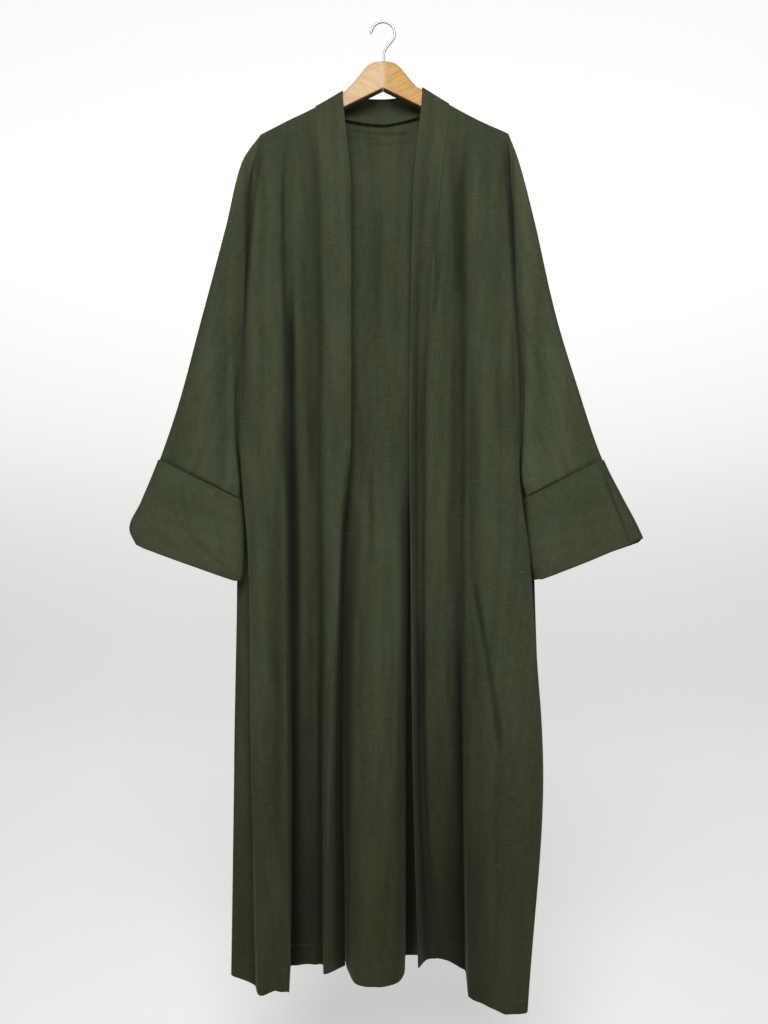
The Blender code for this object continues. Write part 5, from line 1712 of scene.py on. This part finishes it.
def wooden_arm(name, side, material):
    """One half of the hanger: its outline drawn through the arm's depth, long edges rounded."""
    bm = bmesh.new()
    shift = 0.5 * ARM_JOINT_GAP * side
    verts = [bm.verts.new(point(x + (shift if x == 0.0 else 0.0), 0.5 * ARM_DEPTH, drop))
             for x, drop in arm_outline(side)]
    face = bm.faces.new(verts)
    drawn = bmesh.ops.extrude_face_region(bm, geom=[face], use_keep_orig=True)
    moved = [item for item in drawn["geom"] if isinstance(item, bmesh.types.BMVert)]
    bmesh.ops.translate(bm, verts=moved, vec=(0.0, ARM_DEPTH * MM, 0.0))
    bmesh.ops.recalc_face_normals(bm, faces=bm.faces[:])
    rims = [edge for edge in bm.edges
            if abs(edge.verts[0].co.y - edge.verts[1].co.y) < 0.5 * ARM_DEPTH * MM
            and max(abs(vert.co.x) for vert in edge.verts) > ARM_JOINT_SHARP_HALF * MM]
    bmesh.ops.bevel(bm, geom=rims, offset=ARM_EDGE_ROUNDING * MM, offset_type="OFFSET",
                    segments=ARM_EDGE_SEGMENTS, profile=0.5, affect="EDGES", clamp_overlap=True,
                    material=-1)
    bmesh.ops.recalc_face_normals(bm, faces=bm.faces[:])
    return piece_from(bm, name, material, ARM_SHARP_ANGLE)


def hook_route():
    """Middle line of the wire, from the stem's foot to the hook's open tip."""
    centre_drop = HOOK_RADIUS - 0.5 * HOOK_WIRE
    route = list(HOOK_STEM)
    for angle in HOOK_ARC_ANGLES:
        turn = math.radians(angle)
        route.append(HookPoint(HOOK_RADIUS * math.cos(turn), centre_drop - HOOK_RADIUS * math.sin(turn)))
    return route + [HOOK_TIP]


def wire_hook(name, material):
    """The bent wire, as a swept tube with closed rounded ends."""
    bm = bmesh.new()
    route = [Vector((x * MM, 0.0, -drop * MM)) for x, drop in hook_route()]
    sides = 4 * HOOK_ROUNDING
    ring = bmesh.ops.create_circle(bm, cap_ends=True, segments=sides, radius=0.5 * HOOK_WIRE * MM)["verts"]
    start = (route[1] - route[0]).normalized()
    aim = Vector((0.0, 0.0, 1.0)).rotation_difference(start).to_matrix().to_4x4()
    bmesh.ops.transform(bm, matrix=Matrix.Translation(route[0]) @ aim, verts=ring)
    face = bm.faces[:][0]
    direction = start
    for index in range(1, len(route)):
        after = route[min(index + 1, len(route) - 1)] - route[index]
        ahead = after.normalized() if after.length > 0.0 else direction
        mean = ((route[index] - route[index - 1]).normalized() + ahead).normalized()
        drawn = bmesh.ops.extrude_discrete_faces(bm, faces=[face])["faces"]
        face = drawn[0]
        turn = direction.rotation_difference(mean).to_matrix().to_4x4()
        place = Matrix.Translation(route[index]) @ turn @ Matrix.Translation(-route[index - 1])
        bmesh.ops.transform(bm, matrix=place, verts=list(face.verts))
        direction = mean
    bmesh.ops.recalc_face_normals(bm, faces=bm.faces[:])
    return piece_from(bm, name, material, HOOK_SHARP_ANGLE)


class KIMONO_OT_hanger(bpy.types.Operator):
    """The two wooden arms and the wire hook"""

    bl_idname = "kimono.hanger"
    bl_label = "Hanger"

    def execute(self, context):
        tones = context.scene.kimono_hanger
        light = lacquered_wood("light_wood_grain", opaque(tones.light_pale), opaque(tones.light_deep),
                               1, -GRAIN_TILT)
        warm = lacquered_wood("warm_wood_grain", opaque(tones.warm_pale), opaque(tones.warm_deep),
                              2, GRAIN_TILT)
        arm = place_piece(wooden_arm("wooden_arm_left", -1.0, light), "hanger_arm_left")
        arm = place_piece(wooden_arm("wooden_arm_right", 1.0, warm), "hanger_arm_right")
        hook = place_piece(wire_hook("wire_hook", chromed_wire()), "hanger_hook")
        return {"FINISHED"}


def floor_and_wall(stage):
    """The floor, swept up into the wall behind."""
    bm = bmesh.new()
    bmesh.ops.create_grid(bm, x_segments=1, y_segments=FLOOR_STEPS, size=1.0)
    flat = FLOOR_IN_FRONT + stage.wall_distance - FLOOR_SWEEP
    bend = FLOOR_SWEEP * 0.5 * math.pi
    for vert in bm.verts:
        run = (vert.co.y + 1.0) * 0.5 * FLOOR_AND_WALL_RUN
        angle = min(max(run - flat, 0.0), bend) / FLOOR_SWEEP
        rise = max(0.0, run - flat - bend)
        y = -FLOOR_IN_FRONT + min(run, flat) + FLOOR_SWEEP * math.sin(angle)
        z = -stage.floor_drop + FLOOR_SWEEP * (1.0 - math.cos(angle)) + rise
        vert.co = (vert.co.x * FLOOR_HALF_WIDTH, y, z)
    return piece_from(bm, "floor_and_wall", plain_backdrop(stage))


def room_light(stage):
    """Even light from all around."""
    world = bpy.data.worlds.new("room")
    world.use_nodes = True
    background = world.node_tree.nodes["Background"]
    background.inputs["Color"].default_value = ROOM_COLOR
    background.inputs["Strength"].default_value = stage.room_light
    return world


def key_lamp(stage):
    """Large soft lamp above the camera."""
    lamp = bpy.data.lights.new("key_lamp", "AREA")
    lamp.shape = "RECTANGLE"
    lamp.size = LAMP_SIZE
    lamp.size_y = LAMP_SIZE
    lamp.spread = math.radians(LAMP_SPREAD)
    lamp.energy = stage.key_light
    hung_lamp = bpy.data.objects.new("key_lamp", lamp)
    hung_lamp.location = LAMP_PLACE
    aim = Vector(LAMP_AIM) - hung_lamp.location
    hung_lamp.rotation_euler = aim.to_track_quat("-Z", "Y").to_euler()
    return hung_lamp


def front_camera():
    """Camera straight in front of the garment."""
    camera = bpy.data.cameras.new("camera")
    camera.lens = CAMERA_LENS
    camera.sensor_width = CAMERA_SENSOR
    placed_camera = bpy.data.objects.new("camera", camera)
    placed_camera.location = CAMERA_PLACE
    placed_camera.rotation_euler = (math.radians(90.0), 0.0, 0.0)
    return placed_camera


class KIMONO_OT_stage(bpy.types.Operator):
    """Pale floor and wall, the room's light, the lamp and the camera"""

    bl_idname = "kimono.stage"
    bl_label = "Stage"

    def execute(self, context):
        stage = context.scene.kimono_stage
        backdrop = floor_and_wall(stage)
        context.scene.world = room_light(stage)
        camera = front_camera()
        for item in (key_lamp(stage), camera):
            context.scene.collection.objects.link(item)
        context.scene.camera = camera
        context.scene.view_settings.view_transform = "Standard"
        return {"FINISHED"}


class KIMONO_PT_panel(bpy.types.Panel):
    """Buttons and settings in the sidebar"""

    bl_idname = "KIMONO_PT_panel"
    bl_label = "Open-front Kimono"
    bl_space_type = "VIEW_3D"
    bl_region_type = "UI"
    bl_category = "Kimono"

    def draw(self, context):
        layout = self.layout
        for operator in OPERATORS:
            layout.operator(operator.bl_idname)
        for name, group in SETTINGS.items():
            box = layout.box()
            for key in group.__annotations__:
                box.prop(getattr(context.scene, name), key)


OPERATORS = (
    KIMONO_OT_hanger,
    KIMONO_OT_panels,
    KIMONO_OT_sleeves,
    KIMONO_OT_cuffs,
    KIMONO_OT_bands,
    KIMONO_OT_stage,
)
SETTINGS = {
    "kimono_cloth": KimonoClothSettings,
    "kimono_hanger": KimonoHangerSettings,
    "kimono_stage": KimonoStageSettings,
}


def register():
    for group in SETTINGS.values():
        bpy.utils.register_class(group)
    for operator in OPERATORS:
        bpy.utils.register_class(operator)
    bpy.utils.register_class(KIMONO_PT_panel)
    for name, group in SETTINGS.items():
        setattr(bpy.types.Scene, name, bpy.props.PointerProperty(type=group))


def unregister():
    for name in SETTINGS:
        delattr(bpy.types.Scene, name)
    bpy.utils.unregister_class(KIMONO_PT_panel)
    for operator in reversed(OPERATORS):
        bpy.utils.unregister_class(operator)
    for group in reversed(SETTINGS.values()):
        bpy.utils.unregister_class(group)


def main():
    register()
    bpy.ops.kimono.hanger()
    bpy.ops.kimono.panels()
    bpy.ops.kimono.sleeves()
    bpy.ops.kimono.cuffs()
    bpy.ops.kimono.bands()
    bpy.ops.kimono.stage()


if __name__ == "__main__":
    main()
